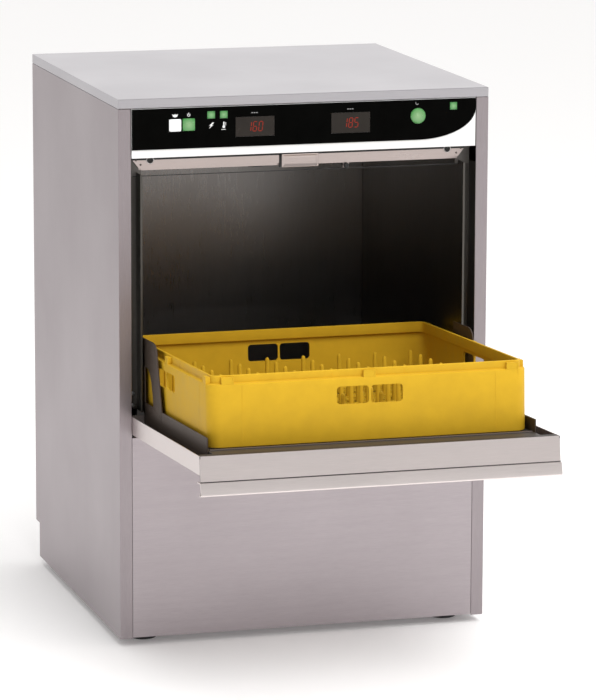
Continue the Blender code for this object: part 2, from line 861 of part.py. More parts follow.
def make_spray_manifold():
    y = HUB_Y
    half = 0.015
    riser = CHAMBER_BACK + 0.008
    back = riser + 2 * half
    low = SUMP_FLOOR - 0.040
    high = CEILING_Z + 0.0125
    left = PUMP[0] - 0.010
    ducts = blocks(
        [
            (-half, half, riser, back, low, high + 0.022),
            (-half, half, y - half, back, high, high + 0.022),
            (-half, half, y - half, back, low, low + 0.022),
            (left, half, riser + 0.005, back - 0.005, low + 0.002, low + 0.020),
            (left, left + 0.050, PUMP_Y + 0.0485, back - 0.005, low + 0.002, low + 0.020),
        ]
    )
    obj = finish(ducts, "spray_manifold", "polymer")
    ring = LOWER_ARM_Z - RUN
    lower = [
        (0.0, low + 0.015),
        (0.0110, low + 0.015),
        (0.0110, ring - 0.0035),
        (0.0160, ring - 0.0035),
        (0.0160, ring),
        (0.0110, ring),
        (0.0110, LOWER_RINSE_Z + 0.0120),
        (0.0160, LOWER_RINSE_Z + 0.0120),
        (0.0140, LOWER_RINSE_Z + 0.0170),
        (0.0, LOWER_RINSE_Z + 0.0170),
    ]
    cap = UPPER_ARM_Z - 0.0050
    upper = [
        (0.0, high + 0.007),
        (0.0110, high + 0.007),
        (0.0110, cap),
        (0.0160, cap),
        (0.0140, cap - 0.0050),
        (0.0, cap - 0.0050),
    ]
    boolean(obj, lathe(lower, 2, HUB, 16), "UNION")
    return boolean(obj, lathe(upper, 2, HUB, 16), "UNION")


def arm_outline(half, root, tip):
    points = []
    for side in (1, -1):
        for step in range(7):
            angle = math.radians(-90 + 180.0 * step / 6)
            points.append(
                (
                    side * (half - tip + tip * math.cos(angle)),
                    side * tip * math.sin(angle),
                )
            )
        points.append((side * 0.030, side * root))
        points.append((-side * 0.030, side * root))
    return points


def make_arm(name, half, root, tip, low, thickness, look):
    high = low + thickness
    outline = [(a, b + HUB_Y) for a, b in arm_outline(half, root, tip)]
    obj = finish(prism(outline, 2, low, high), name, look, (0, HUB_Y, low))
    return boolean(obj, rod(2, HUB, 0.0115, low - 0.01, high + 0.01, 20), "DIFFERENCE")


def make_booster_heater():
    wall = 0.0015
    outside = [(0.0400, 0.1000), (0.0600, 0.1080), (0.0600, 0.3800), (0.0400, 0.3880)]
    inside = [(0.0120, 0.3880), (0.0120, 0.3880 - wall), (0.0395, 0.3880 - wall)]
    inside += [(0.0600 - wall, 0.3800 - wall / 2), (0.0600 - wall, 0.1080 + wall / 2)]
    inside += [(0.0395, 0.1000 + wall), (0.0, 0.1000 + wall)]
    profile = [(0.0, 0.1000), *outside, *inside]
    x, z = BOILER
    at = (x, 0, z)
    obj = finish(lathe(profile, 1, at, 24), "booster_heater", "bright", at, True)
    feet = []
    for y in (0.140, 0.330):
        feet.append((x - 0.035, x + 0.035, y, y + 0.020, FLOOR_TOP + RUN, z - 0.046))
    return boolean(obj, blocks(feet), "UNION")


def make_inlet_valve():
    profile = [
        (0.0, NOTCH_Y - 0.054),
        (0.0160, NOTCH_Y - 0.054),
        (0.0160, NOTCH_Y - GAP),
        (0.0132, NOTCH_Y - GAP),
        (0.0132, DEPTH - 0.0030),
        (0.0095, DEPTH - 0.0010),
        (0.0095, NOTCH_Y + 0.006),
        (0.0, NOTCH_Y + 0.006),
    ]
    at = (INLET_X, 0, REAR_PORT_Z)
    obj = finish(lathe(profile, 1, at, 20), "inlet_valve", "brass", at, True)
    coil = rod(2, (INLET_X, NOTCH_Y - 0.029, 0), 0.0140, REAR_PORT_Z, 2 * REAR_PORT_Z, 16)
    return boolean(obj, coil, "UNION")


def make_drain_pump():
    profile = [
        (0.0, NOTCH_Y - 0.144),
        (0.0280, NOTCH_Y - 0.144),
        (0.0280, NOTCH_Y - 0.044),
        (0.0140, NOTCH_Y - 0.039),
        (0.0140, DEPTH - 0.0010),
        (0.0110, DEPTH - 0.0010),
        (0.0110, NOTCH_Y - 0.024),
        (0.0, NOTCH_Y - 0.024),
    ]
    at = (DRAIN_X, 0, REAR_PORT_Z)
    return finish(lathe(profile, 1, at, 20), "drain_pump", "polymer", at, True)


def make_cable_gland():
    profile = [
        (0.0045, NOTCH_Y - 0.014),
        (0.0100, NOTCH_Y - 0.014),
        (0.0100, NOTCH_Y + SHEET + GAP),
        (0.0140, NOTCH_Y + SHEET + GAP),
        (0.0140, NOTCH_Y + 0.012),
        (0.0100, NOTCH_Y + 0.021),
        (0.0045, NOTCH_Y + 0.021),
    ]
    at = (GLAND_X, 0, REAR_PORT_Z)
    return finish(lathe(profile, 1, at, 16), "cable_gland", "polymer", at, True)


# Door, its hinge shaft and its damper.


def make_door_skin():
    length = DOOR_LENGTH
    inner = DOOR_INNER
    outer = -DOOR_OUTER
    half = DOOR_HALF
    back = -0.007
    skin = blocks(
        [
            (-half, half, back, length, outer, outer + SHEET),
            (-half, SHEET - half, back, length, outer, inner),
            (half - SHEET, half, back, length, outer, inner),
            (-half, half, back, back + SHEET, outer, inner),
            (-half, half, length - SHEET, length, inner - HANDLE_FACE, inner),
            (-half, half, length - DOOR_RETURN, length, inner - SHEET, inner),
        ]
    )
    for vertex in skin.verts:
        if vertex.co.y > length - 0.002:
            vertex.co.y += (inner - vertex.co.z) * 0.087
    obj = finish(on_door(skin), "door_skin", "bright", HINGE)
    bore = rod(0, HINGE, HINGE_RADIUS + GAP, -HALF, HALF, 16)
    for vertex in bore.verts:
        vertex.co -= Vector(HINGE)
    boolean(obj, bore, "DIFFERENCE")
    obj.modifiers[-1].object.location = HINGE
    return obj


def make_door_handle():
    base = DOOR_INNER - HANDLE_FACE - GAP
    low = DOOR_INNER - HANDLE_FACE - HANDLE_LIP
    end = DOOR_LENGTH + HANDLE_REACH
    outline = [
        (end - 0.018, base),
        (end - 0.0002, base),
        (end + HANDLE_SLANT, low),
        (end - 0.0060, low),
        (end - 0.0060, low + SHEET),
        (end + 0.0014, low + SHEET),
        (end - 0.0018, base - SHEET),
        (end - 0.018, base - SHEET),
    ]
    bar = prism(outline, 0, -DOOR_HALF - 0.001, DOOR_HALF + 0.001)
    return finish(on_door(bar), "door_handle", "bright", HINGE)


def make_door_liner():
    inner = DOOR_INNER
    half = GUIDE_HALF - GAP
    front = DOOR_LENGTH - DOOR_RETURN - GAP
    back = -0.0052
    low = 0.0045
    bead = RACK_OVERHANG + 0.011
    liner = blocks(
        [
            (-half, half, back, front, inner - SHEET, inner),
            (-half, SHEET - half, back, front, low, inner),
            (half - SHEET, half, back, front, low, inner),
            (-half, half, front - SHEET, front, low, inner),
            (-half + 0.003, half - 0.003, bead, bead + 0.002, inner - SHEET, inner + 0.002),
        ]
    )
    return finish(on_door(liner), "door_liner", "dark_steel", HINGE)


def make_guide(name, right):
    inner = DOOR_INNER
    low = 0.0045
    rail = inner + GUIDE_RAIL
    top = BRACKET_HEIGHT
    outline = [
        (DOOR_LENGTH - 0.0425, low),
        (DOOR_LENGTH - 0.0425, rail),
        (0.1060, rail),
        (0.0800, top - 0.0160),
        (0.0766, top - 0.0075),
        (0.0680, top - 0.0020),
        (0.0580, top),
        (-0.0173, top),
        (-0.0173, 0.0340),
        (-0.0050, 0.0240),
        (-0.0050, low),
    ]
    window = [
        (0.0540, 0.0430),
        (0.0500, 0.0640),
        (0.0440, 0.0800),
        (0.0360, 0.0920),
        (0.0250, 0.0990),
        (0.0020, 0.1000),
        (0.0020, 0.0430),
    ]
    low_x = GUIDE_HALF
    high_x = GUIDE_HALF + 0.002
    sign = 1 if right else -1
    plate = prism(outline, 0, sign * low_x, sign * high_x)
    hole = prism(window, 0, sign * (low_x - 0.01), sign * (high_x + 0.01))
    obj = finish(on_door(plate), name, "dark_steel", HINGE)
    cutter = on_door(hole)
    for vertex in cutter.verts:
        vertex.co -= Vector(HINGE)
    boolean(obj, cutter, "DIFFERENCE")
    obj.modifiers[-1].object.location = HINGE
    return obj


def make_hinge_shaft():
    y, z = HINGE_Y, HINGE_Z
    shaft = rod(0, HINGE, HINGE_RADIUS, -OPEN_HALF - 0.0060, OPEN_HALF + 0.0058, 16)
    obj = finish(shaft, "hinge_shaft", "bright", HINGE)

    def at_hinge(builder):
        for vertex in builder.verts:
            vertex.co -= Vector(HINGE)
        return builder

    turn = math.radians(43.0)
    lever = []
    for a, b in ((0.0, -0.0038), (0.0450, -0.0038), (0.0450, 0.0038), (0.0, 0.0038)):
        lever.append(
            (
                y + a * math.cos(turn) - b * math.sin(turn),
                z + a * math.sin(turn) + b * math.cos(turn),
            )
        )
    pin_y = y + 0.0400 * math.cos(turn)
    pin_z = z + 0.0400 * math.sin(turn)
    boolean(obj, at_hinge(prism(lever, 0, -OPEN_HALF - 0.0055, -OPEN_HALF - 0.0033)), "UNION")
    pin = rod(0, (0, pin_y, pin_z), 0.0020, -OPEN_HALF - 0.0165, -OPEN_HALF - 0.0040, 10)
    boolean(obj, at_hinge(pin), "UNION")
    inner = TRACK_RADIUS
    outer = TRACK_RADIUS + 0.004
    arc = []
    steps = 16
    for step in range(steps + 1):
        angle = math.radians(-3.0 + 94.0 * step / steps)
        arc.append((y + outer * math.cos(angle), z + outer * math.sin(angle)))
    for step in range(steps, -1, -1):
        angle = math.radians(-3.0 + 94.0 * step / steps)
        arc.append((y + inner * math.cos(angle), z + inner * math.sin(angle)))
    boolean(obj, at_hinge(prism(arc, 0, OPEN_HALF + 0.0036, OPEN_HALF + 0.0125)), "UNION")
    spoke = [
        (y - 0.0037, z),
        (y + 0.0037, z),
        (y + 0.0060, z + inner + 0.002),
        (y - 0.0005, z + inner + 0.002),
    ]
    boolean(obj, at_hinge(prism(spoke, 0, OPEN_HALF + 0.0033, OPEN_HALF + 0.0056)), "UNION")
    for step in obj.modifiers:
        step.object.location = HINGE
    return obj


def make_hinge_block(name, right):
    low = OPEN_HALF + GAP
    front = 2 * SHEET
    plate = blocks(
        [
            (low, low + 0.0025, front, front + 0.020, HINGE_Z - 0.046, HINGE_Z + 0.026),
            (low, HALF - SHEET - GAP, front, front + 0.002, HINGE_Z - 0.046, HINGE_Z - 0.016),
        ]
    )
    obj = finish(plate if right else mirrored(plate), name, "steel")
    return boolean(obj, rod(0, HINGE, HINGE_RADIUS + GAP, -HALF, HALF, 16), "DIFFERENCE")


def make_damper_roller():
    at = (OPEN_HALF, ROLLER_Y, HINGE_Z)
    profile = [
        (0.0, 0.0062),
        (ROLLER_RADIUS - 0.0005, 0.0062),
        (ROLLER_RADIUS, 0.0067),
        (ROLLER_RADIUS, 0.0115),
        (ROLLER_RADIUS - 0.0005, 0.0120),
        (0.0040, 0.0120),
        (0.0040, 0.0178),
        (0.0, 0.0178),
    ]
    return finish(lathe(profile, 0, at, 32), "damper_roller", "rubber", at, True)


def make_door_spring():
    x = -OPEN_HALF - 0.0115
    y = HINGE_Y + 0.0292
    low = HINGE_Z - 0.226
    high = HINGE_Z + 0.006
    radius = 0.0045
    turns = 16
    per_turn = 8
    path = [(x, y, FLOOR_TOP + RUN), (x, y, low - 0.006)]
    for step in range(turns * per_turn + 1):
        angle = 2 * math.pi * step / per_turn
        z = low + (high - low) * step / (turns * per_turn)
        path.append((x + radius * math.cos(angle), y + radius * math.sin(angle), z))
    path += [(x, y, high + 0.006), (x, y, high + 0.0188)]
    return finish(tube(path, 0.0011, 5), "door_spring", "bright")


# Dish rack.


def make_dish_rack():
    half = RACK_SIZE / 2
    ledge = RACK_HEIGHT - 0.0125
    rim = half - 0.0070
    corner = 0.020
    loops = [
        (half - 0.0012, corner - 0.0012, 0.0),
        (half, corner, 0.0030),
        (half, corner, ledge),
        (rim, corner - 0.0070, ledge + 0.0016),
        (rim, corner - 0.0070, RACK_HEIGHT),
        (rim - 0.0035, corner - 0.0105, RACK_HEIGHT),
        (rim - 0.0035, corner - 0.0105, ledge - 0.0025),
        (half - 0.0035, corner - 0.0035, ledge - 0.0055),
        (half - 0.0035, corner - 0.0035, 0.0),
    ]
    builder = bmesh.new()
    rings = []
    for size, radius, level in loops:
        ring = [builder.verts.new((a, b, level)) for a, b in rounded(size, size, radius, 3)]
        rings.append(ring)
    count = len(rings[0])
    for index, ring in enumerate(rings):
        after = rings[(index + 1) % len(rings)]
        for i in range(count):
            j = (i + 1) % count
            builder.faces.new((ring[i], ring[j], after[j], after[i]))
    bmesh.ops.recalc_face_normals(builder, faces=builder.faces)
    bars = []
    reach = half - 0.0020
    inner = half - 0.0200
    cells = 6
    pitch = 2 * inner / cells
    for i in range(cells):
        for j in range(cells):
            x = -inner + pitch * (i + 0.5)
            y = -inner + pitch * (j + 0.5)
            side = pitch / 2 - 0.0035
            bars.append((x - side, x + side, y - side, y + side, -1.0, 1.0))
    short = reach - 0.016
    beds = [(-short, short, -reach, reach, 0.0010, 0.0050)]
    beds.append((-reach, reach, -short, short, 0.0010, 0.0050))
    floor = blocks(beds, bars)
    grips = []
    for near in (-1, 1):
        for side in (-1, 1):
            a0, a1 = sorted((side * 0.0015, side * 0.0515))
            b0, b1 = sorted((near * (half - 0.010), near * (half + 0.010)))
            grips.append(blocks([(a0, a1, b0, b1, 0.0555, 0.0825)]))
            grips.append(blocks([(b0, b1, a0, a1, 0.0555, 0.0825)]))
    grips = joined(*grips)

    def place(mesh):
        for vertex in mesh.verts:
            x, y, z = vertex.co
            u = RACK_OVERHANG - half - y
            vertex.co = (x, u, DOOR_INNER + RACK_LIFT + z)
        return on_door(mesh)

    start = (0.0, ROLLER_Y - RACK_TRAVEL / 2, HINGE_Z)

    def local(mesh):
        for vertex in place(mesh).verts:
            vertex.co -= Vector(start)
        return mesh

    obj = finish(place(builder), "dish_rack", "yellow", start)
    boolean(obj, local(floor), "UNION")
    boolean(obj, local(grips), "DIFFERENCE")
    for step in obj.modifiers:
        step.object.location = start
    return obj


make_base_tray()
for index, (foot_x, foot_y) in enumerate(foot_places()):
    make_foot("foot_" + str(index + 1), foot_x, foot_y)
make_side_panel("side_panel_left", False)
make_side_panel("side_panel_right", True)
make_back_panel()
make_top_panel()
make_lower_front_panel()
make_fascia_panel()
make_fascia_overlay()
for label, place_of in BUTTONS.items():
    make_button(label, *place_of)
make_round_button()
for label, place_of in LAMPS.items():
    make_lamp(label, *place_of)
for label, place_of in DISPLAYS.items():
    make_display(label, *place_of)
make_control_box()
make_front_header()
make_bumper("bumper_left", -BUMPER_X)
make_bumper("bumper_right", BUMPER_X)
make_door_catch()
make_door_switch()
make_chamber_wall("chamber_wall_left", False)
make_chamber_wall("chamber_wall_right", True)
make_chamber_wall_back()
make_chamber_ceiling()
make_wash_tank()
make_rack_rail("rack_rail_left", False)
make_rack_rail("rack_rail_right", True)
make_filter_tray()
make_overflow_standpipe()
make_tank_heater()
make_pump_volute()
make_pump_motor()
make_pump_impeller()
make_suction_pipe()
make_spray_manifold()
make_arm("lower_wash_arm", ARM_HALF, 0.0150, 0.0110, LOWER_ARM_Z, WASH_ARM, "steel")
make_arm("lower_rinse_arm", ARM_HALF - 0.030, 0.0130, 0.0060, LOWER_RINSE_Z, RINSE_ARM, "bright")
make_arm("upper_wash_arm", ARM_HALF, 0.0150, 0.0110, UPPER_ARM_Z, WASH_ARM, "steel")
make_arm("upper_rinse_arm", ARM_HALF - 0.030, 0.0130, 0.0060, UPPER_RINSE_Z, RINSE_ARM, "bright")
make_booster_heater()
make_inlet_valve()
make_drain_pump()
make_cable_gland()
make_door_skin()
make_door_handle()
make_door_liner()
make_guide("guide_left", False)
make_guide("guide_right", True)
make_hinge_shaft()
make_hinge_block("hinge_block_left", False)
make_hinge_block("hinge_block_right", True)
make_damper_roller()
make_door_spring()
make_dish_rack()

# The origin is under the middle of the whole object, open door included.
handle_u = DOOR_LENGTH + HANDLE_REACH + HANDLE_SLANT
handle_v = DOOR_INNER - HANDLE_FACE - HANDLE_LIP
front_reach = handle_u * TILT_COS - handle_v * TILT_SIN - HINGE_Y
shift_y = (front_reach - DEPTH) / 2
for moved in bpy.data.objects:
    moved.location.y += shift_y
bpy.context.view_layer.update()
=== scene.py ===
import json
import math

import bmesh
import bpy
from mathutils import Matrix, Vector


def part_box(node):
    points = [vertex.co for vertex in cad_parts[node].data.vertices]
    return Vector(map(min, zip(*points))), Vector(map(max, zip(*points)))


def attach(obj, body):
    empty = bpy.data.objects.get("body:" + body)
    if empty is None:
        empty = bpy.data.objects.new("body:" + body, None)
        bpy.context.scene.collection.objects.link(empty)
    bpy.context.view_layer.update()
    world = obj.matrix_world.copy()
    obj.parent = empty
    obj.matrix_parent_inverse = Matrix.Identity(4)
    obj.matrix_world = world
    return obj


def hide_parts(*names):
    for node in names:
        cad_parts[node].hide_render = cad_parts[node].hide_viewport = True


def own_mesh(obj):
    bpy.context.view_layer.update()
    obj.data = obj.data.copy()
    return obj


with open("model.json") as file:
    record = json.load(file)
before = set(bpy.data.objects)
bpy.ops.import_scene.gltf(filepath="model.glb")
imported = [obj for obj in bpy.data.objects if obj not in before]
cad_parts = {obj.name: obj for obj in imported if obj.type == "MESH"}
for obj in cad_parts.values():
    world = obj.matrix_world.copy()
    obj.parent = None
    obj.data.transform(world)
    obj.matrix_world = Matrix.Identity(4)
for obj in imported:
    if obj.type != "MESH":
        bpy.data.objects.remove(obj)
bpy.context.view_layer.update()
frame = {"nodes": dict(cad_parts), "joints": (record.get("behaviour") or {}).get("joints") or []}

nodes = frame["nodes"]
joints = {joint["name"]: joint for joint in frame["joints"]}


# ---- placing helpers

hinge = Vector(joints["door_hinge"]["pos_m"])
restTilt = math.radians(90 - joints["door_hinge"]["range_deg"][1])  # the open door leans up a little


def middle(node):
    low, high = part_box(node)
    return (low + high) / 2


def onDoor(x, out, up):  # out runs from the hinge to the handle, up stands on the open door
    y = hinge.y - out * math.cos(restTilt) + up * math.sin(restTilt)
    z = hinge.z + out * math.sin(restTilt) + up * math.cos(restTilt)
    return Vector((x, y, z))


def addPiece(name, mesh, material, body, smoothAngle=None, cadNodes=()):
    bmesh.ops.recalc_face_normals(mesh, faces=mesh.faces)
    if mesh.calc_volume(signed=True) < 0:
        bmesh.ops.reverse_faces(mesh, faces=mesh.faces)
    data = bpy.data.meshes.new(name)
    mesh.to_mesh(data)
    mesh.free()
    piece = bpy.data.objects.new(name, data)
    bpy.context.scene.collection.objects.link(piece)
    data.materials.append(material)
    if smoothAngle:
        data.shade_smooth()
        data.set_sharp_from_angle(angle=math.radians(smoothAngle))
    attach(piece, body)
    if cadNodes:
        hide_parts(*cadNodes)
    return piece


def roundEdges(piece, width, steps=2, angle=30):
    weld = piece.modifiers.new("weld", "WELD")
    weld.merge_threshold = 0.00002
    bevel = piece.modifiers.new("roundEdges", "BEVEL")
    bevel.width = width
    bevel.segments = steps
    bevel.limit_method = "ANGLE"
    bevel.angle_limit = math.radians(angle)
    bevel.use_clamp_overlap = True
    bevel.harden_normals = False
    even = piece.modifiers.new("evenShading", "WEIGHTED_NORMAL")  # broad faces stay flat beside their edges
    even.weight = 100
    even.keep_sharp = True
    return piece


def merge(target, source):  # moves everything in source into target
    copies = {vertex: target.verts.new(vertex.co) for vertex in source.verts}
    for face in source.faces:
        target.faces.new([copies[vertex] for vertex in face.verts])
    source.free()
    return target


def slab(points, low, high, place):  # a flat outline, made thick; place(a, b, level) gives the point
    mesh = bmesh.new()
    rings = [[mesh.verts.new(place(a, b, level)) for a, b in points] for level in (low, high)]
    mesh.faces.new(rings[0])
    mesh.faces.new(rings[1])
    for i in range(len(points)):
        j = (i + 1) % len(points)
        mesh.faces.new((rings[0][i], rings[0][j], rings[1][j], rings[1][i]))
    return mesh


def plate(mesh, x0, x1, z0, z1, y0, y1):  # a flat upright plate that faces the front
    merge(mesh, slab([(x0, z0), (x1, z0), (x1, z1), (x0, z1)], y0, y1, lambda a, b, level: (a, level, b)))


def loft(rings, closed=False):  # rings of equal length, joined in order and capped
    mesh = bmesh.new()
    made = [[mesh.verts.new(point) for point in ring] for ring in rings]
    count = len(made[0])
    pairs = list(zip(made, made[1:]))
    if closed:
        pairs.append((made[-1], made[0]))
    else:
        mesh.faces.new(made[0])
        mesh.faces.new(made[-1])
    for first, second in pairs:
        for i in range(count):
            j = (i + 1) % count
            mesh.faces.new((first[i], first[j], second[j], second[i]))
    return mesh


def turned(profile, centre, axis, steps=48):  # profile of (radius, distance along the axis)
    side = [a for a in range(3) if a != axis]
    rings = []
    for step in range(steps):
        angle = 2 * math.pi * step / steps
        ring = []
        for radius, level in profile:
            point = [centre[0], centre[1], centre[2]]
            point[axis] += level
            point[side[0]] += radius * math.cos(angle)
            point[side[1]] += radius * math.sin(angle)
            ring.append(point)
        rings.append(ring)
    mesh = loft(rings, closed=True)
    bmesh.ops.remove_doubles(mesh, verts=mesh.verts, dist=0.000005)
    return mesh


def roundedBox(halfX, halfZ, radius, steps=5):
    points = []
    for signX, signZ, start in ((1, 1, 0), (-1, 1, 90), (-1, -1, 180), (1, -1, 270)):
        for step in range(steps + 1):
            angle = math.radians(start + 90 * step / steps)
            points.append((signX * (halfX - radius) + radius * math.cos(angle),
                           signZ * (halfZ - radius) + radius * math.sin(angle)))
    return points


def folded(corners, thickness, bend, steps=5):  # the outline of a bent sheet that follows these corners
    path = [Vector(corners[0])]
    for before, corner, after in zip(corners, corners[1:], corners[2:]):
        before, corner, after = Vector(before), Vector(corner), Vector(after)
        inward, outward = (before - corner).normalized(), (after - corner).normalized()
        half = inward.angle(outward) / 2
        cut = min(bend / math.tan(half), (before - corner).length * 0.45, (after - corner).length * 0.45)
        start, end = corner + inward * cut, corner + outward * cut
        for step in range(steps + 1):
            t = step / steps
            path.append(start * (1 - t) ** 2 + corner * 2 * t * (1 - t) + end * t ** 2)
    path.append(Vector(corners[-1]))
    left, right = [], []
    for i, point in enumerate(path):
        along = (path[min(i + 1, len(path) - 1)] - path[max(i - 1, 0)]).normalized()
        across = Vector((-along.y, along.x)) * thickness / 2
        left.append(point + across)
        right.append(point - across)
    return [tuple(point) for point in left + right[::-1]]


# ---- finishes

def group(name, inputs, outputs):
    made = bpy.data.node_groups.new(name, "ShaderNodeTree")
    for label, kind in inputs:
        made.interface.new_socket(name=label, in_out="INPUT", socket_type="NodeSocket" + kind)
    for label, kind in outputs:
        made.interface.new_socket(name=label, in_out="OUTPUT", socket_type="NodeSocket" + kind)
    return made, made.nodes.new("NodeGroupInput"), made.nodes.new("NodeGroupOutput")


def noise(tree, vector, scale, detail, roughness=0.5):
    node = tree.nodes.new("ShaderNodeTexNoise")
    node.inputs["Scale"].default_value = scale
    node.inputs["Detail"].default_value = detail
    node.inputs["Roughness"].default_value = roughness
    tree.links.new(vector, node.inputs["Vector"])
    return node.outputs["Fac"]


def vectorMath(tree, kind, first, second):
    node = tree.nodes.new("ShaderNodeVectorMath")
    node.operation = kind
    tree.links.new(first, node.inputs[0])
    if hasattr(second, "is_linked"):
        tree.links.new(second, node.inputs[1])
    else:
        node.inputs[1].default_value = second
    return node.outputs["Vector"]


def spread(tree, value, low, high, fromLow=0.3, fromHigh=0.7):
    node = tree.nodes.new("ShaderNodeMapRange")
    node.inputs["From Min"].default_value = fromLow
    node.inputs["From Max"].default_value = fromHigh
    node.inputs["To Min"].default_value = low
    node.inputs["To Max"].default_value = high
    tree.links.new(value, node.inputs["Value"])
    return node.outputs["Result"]


def arithmetic(tree, kind, first, second):
    node = tree.nodes.new("ShaderNodeMath")
    node.operation = kind
    for index, value in enumerate((first, second)):
        if hasattr(value, "is_linked"):
            tree.links.new(value, node.inputs[index])
        else:
            node.inputs[index].default_value = value
    return node.outputs["Value"]


def mixColour(tree, factor, first, second, kind="MIX"):
    node = tree.nodes.new("ShaderNodeMix")
    node.data_type = "RGBA"
    node.blend_type = kind
    for socket, value in (("Factor", factor), ("A", first), ("B", second)):
        target = [s for s in node.inputs if s.name == socket and s.enabled][0]
        if hasattr(value, "is_linked"):
            tree.links.new(value, target)
        else:
            target.default_value = value
    return [s for s in node.outputs if s.enabled][0]


def makeBrushedGroup():  # fine parallel lines from the sheet's polishing, and slow cloudy change
    made, start, end = group("brushedGrain", (("Coordinate", "Vector"), ("Stretch", "Vector")),
                             (("Grain", "Float"), ("Cloud", "Float"), ("Height", "Float")))
    pulled = vectorMath(made, "MULTIPLY", start.outputs["Coordinate"], start.outputs["Stretch"])
    fine = noise(made, pulled, 1.0, 5.0, 0.62)
    broad = noise(made, vectorMath(made, "MULTIPLY", pulled, (0.16, 0.16, 0.16)), 1.0, 3.0)
    both = arithmetic(made, "ADD", arithmetic(made, "MULTIPLY", fine, 0.7),
                      arithmetic(made, "MULTIPLY", broad, 0.3))
    made.links.new(both, end.inputs["Grain"])
    made.links.new(noise(made, start.outputs["Coordinate"], 3.1, 2.0), end.inputs["Cloud"])
    made.links.new(fine, end.inputs["Height"])
    return made


def makeHandledGroup():  # faint rubbed patches left by wiping and by hands
    made, start, end = group("handledSurface", (("Coordinate", "Vector"), ("Size", "Float")),
                             (("Rubbed", "Float"), ("Speck", "Float")))
    scaled = made.nodes.new("ShaderNodeVectorMath")
    scaled.operation = "SCALE"
    made.links.new(start.outputs["Coordinate"], scaled.inputs[0])
    made.links.new(start.outputs["Size"], scaled.inputs["Scale"])
    made.links.new(noise(made, scaled.outputs["Vector"], 1.0, 4.0, 0.55), end.inputs["Rubbed"])
    speck = noise(made, vectorMath(made, "MULTIPLY", scaled.outputs["Vector"], (28, 28, 28)), 1.0, 2.0)
    made.links.new(speck, end.inputs["Speck"])
    return made


brushedGroup = makeBrushedGroup()
handledGroup = makeHandledGroup()


def startMaterial(name):
    material = bpy.data.materials.new(name)
    material.use_nodes = True
    tree = material.node_tree
    shader = tree.nodes["Principled BSDF"]
    coordinate = tree.nodes.new("ShaderNodeTexCoord").outputs["Object"]
    return material, tree, shader, coordinate


def useGroup(tree, made, coordinate, **values):
    node = tree.nodes.new("ShaderNodeGroup")
    node.node_tree = made
    tree.links.new(coordinate, node.inputs["Coordinate"])
    for label, value in values.items():
        node.inputs[label].default_value = value
    return node.outputs


def addBump(tree, shader, height, strength, distance):
    bump = tree.nodes.new("ShaderNodeBump")
    bump.inputs["Strength"].default_value = strength
    bump.inputs["Distance"].default_value = distance
    tree.links.new(height, bump.inputs["Height"])
    tree.links.new(bump.outputs["Normal"], shader.inputs["Normal"])


def tint(colour, factor):
    return (colour[0] * factor, colour[1] * factor, colour[2] * factor, 1)


def sheetSteel(name, colour, stretch, roughness, contrast=0.10, bump=0.12, metallic=1.0, cloud=0.06):
    material, tree, shader, coordinate = startMaterial(name)
    grain = useGroup(tree, brushedGroup, coordinate, Stretch=stretch)
    handled = useGroup(tree, handledGroup, coordinate, Size=5.0)
    lined = mixColour(tree, spread(tree, grain["Grain"], 0, 1), tint(colour, 1 - contrast),
                      tint(colour, 1 + contrast))
    shaded = mixColour(tree, spread(tree, grain["Cloud"], 0, cloud), lined, tint(colour, 0.55))
    tree.links.new(shaded, shader.inputs["Base Color"])
    rubbed = arithmetic(tree, "ADD", spread(tree, grain["Grain"], roughness - 0.05, roughness + 0.05),
                        spread(tree, handled["Rubbed"], -0.03, 0.04))
    tree.links.new(rubbed, shader.inputs["Roughness"])
    shader.inputs["Metallic"].default_value = metallic
    addBump(tree, shader, grain["Height"], bump, 0.00008)
    return material


def moulded(name, colour, roughness, coat=0.0, speck=0.25, bump=0.1, vary=0.06, glow=None, specular=0.5):
    material, tree, shader, coordinate = startMaterial(name)
    handled = useGroup(tree, handledGroup, coordinate, Size=34.0)
    varied = mixColour(tree, spread(tree, handled["Rubbed"], 0, 1), tint(colour, 1 - vary),
                       tint(colour, 1 + vary))
    tree.links.new(varied, shader.inputs["Base Color"])
    tree.links.new(spread(tree, handled["Rubbed"], roughness - 0.05, roughness + 0.07),
                   shader.inputs["Roughness"])
    shader.inputs["Coat Weight"].default_value = coat
    shader.inputs["Coat Roughness"].default_value = 0.08
    shader.inputs["Specular IOR Level"].default_value = specular
    addBump(tree, shader, handled["Speck"], bump, 0.0002 * speck)
    if glow:
        shader.inputs["Emission Color"].default_value = (*glow[0], 1)
        shader.inputs["Emission Strength"].default_value = glow[1]
    return material


def litCap(name, centre, radius, inner, outer, glow):  # a glowing key, brightest at its middle: backlight on the green keys and lamps, painted light on the white fill key
    material, tree, shader, coordinate = startMaterial(name)
    offset = vectorMath(tree, "SUBTRACT", coordinate, tuple(centre))
    flat = vectorMath(tree, "MULTIPLY", offset, (1 / radius, 0, 1 / radius))
    length = tree.nodes.new("ShaderNodeVectorMath")
    length.operation = "LENGTH"
    tree.links.new(flat, length.inputs[0])
    fade = spread(tree, length.outputs["Value"], 0, 1, 0.0, 1.05)
    handled = useGroup(tree, handledGroup, coordinate, Size=60.0)
    body = mixColour(tree, fade, (*inner, 1), (*outer, 1))
    tree.links.new(body, shader.inputs["Base Color"])
    tree.links.new(body, shader.inputs["Emission Color"])
    shader.inputs["Emission Strength"].default_value = glow
    tree.links.new(spread(tree, handled["Rubbed"], 0.22, 0.32), shader.inputs["Roughness"])
    shader.inputs["Coat Weight"].default_value = 0.4
    addBump(tree, shader, handled["Speck"], 0.08, 0.00005)
    return material
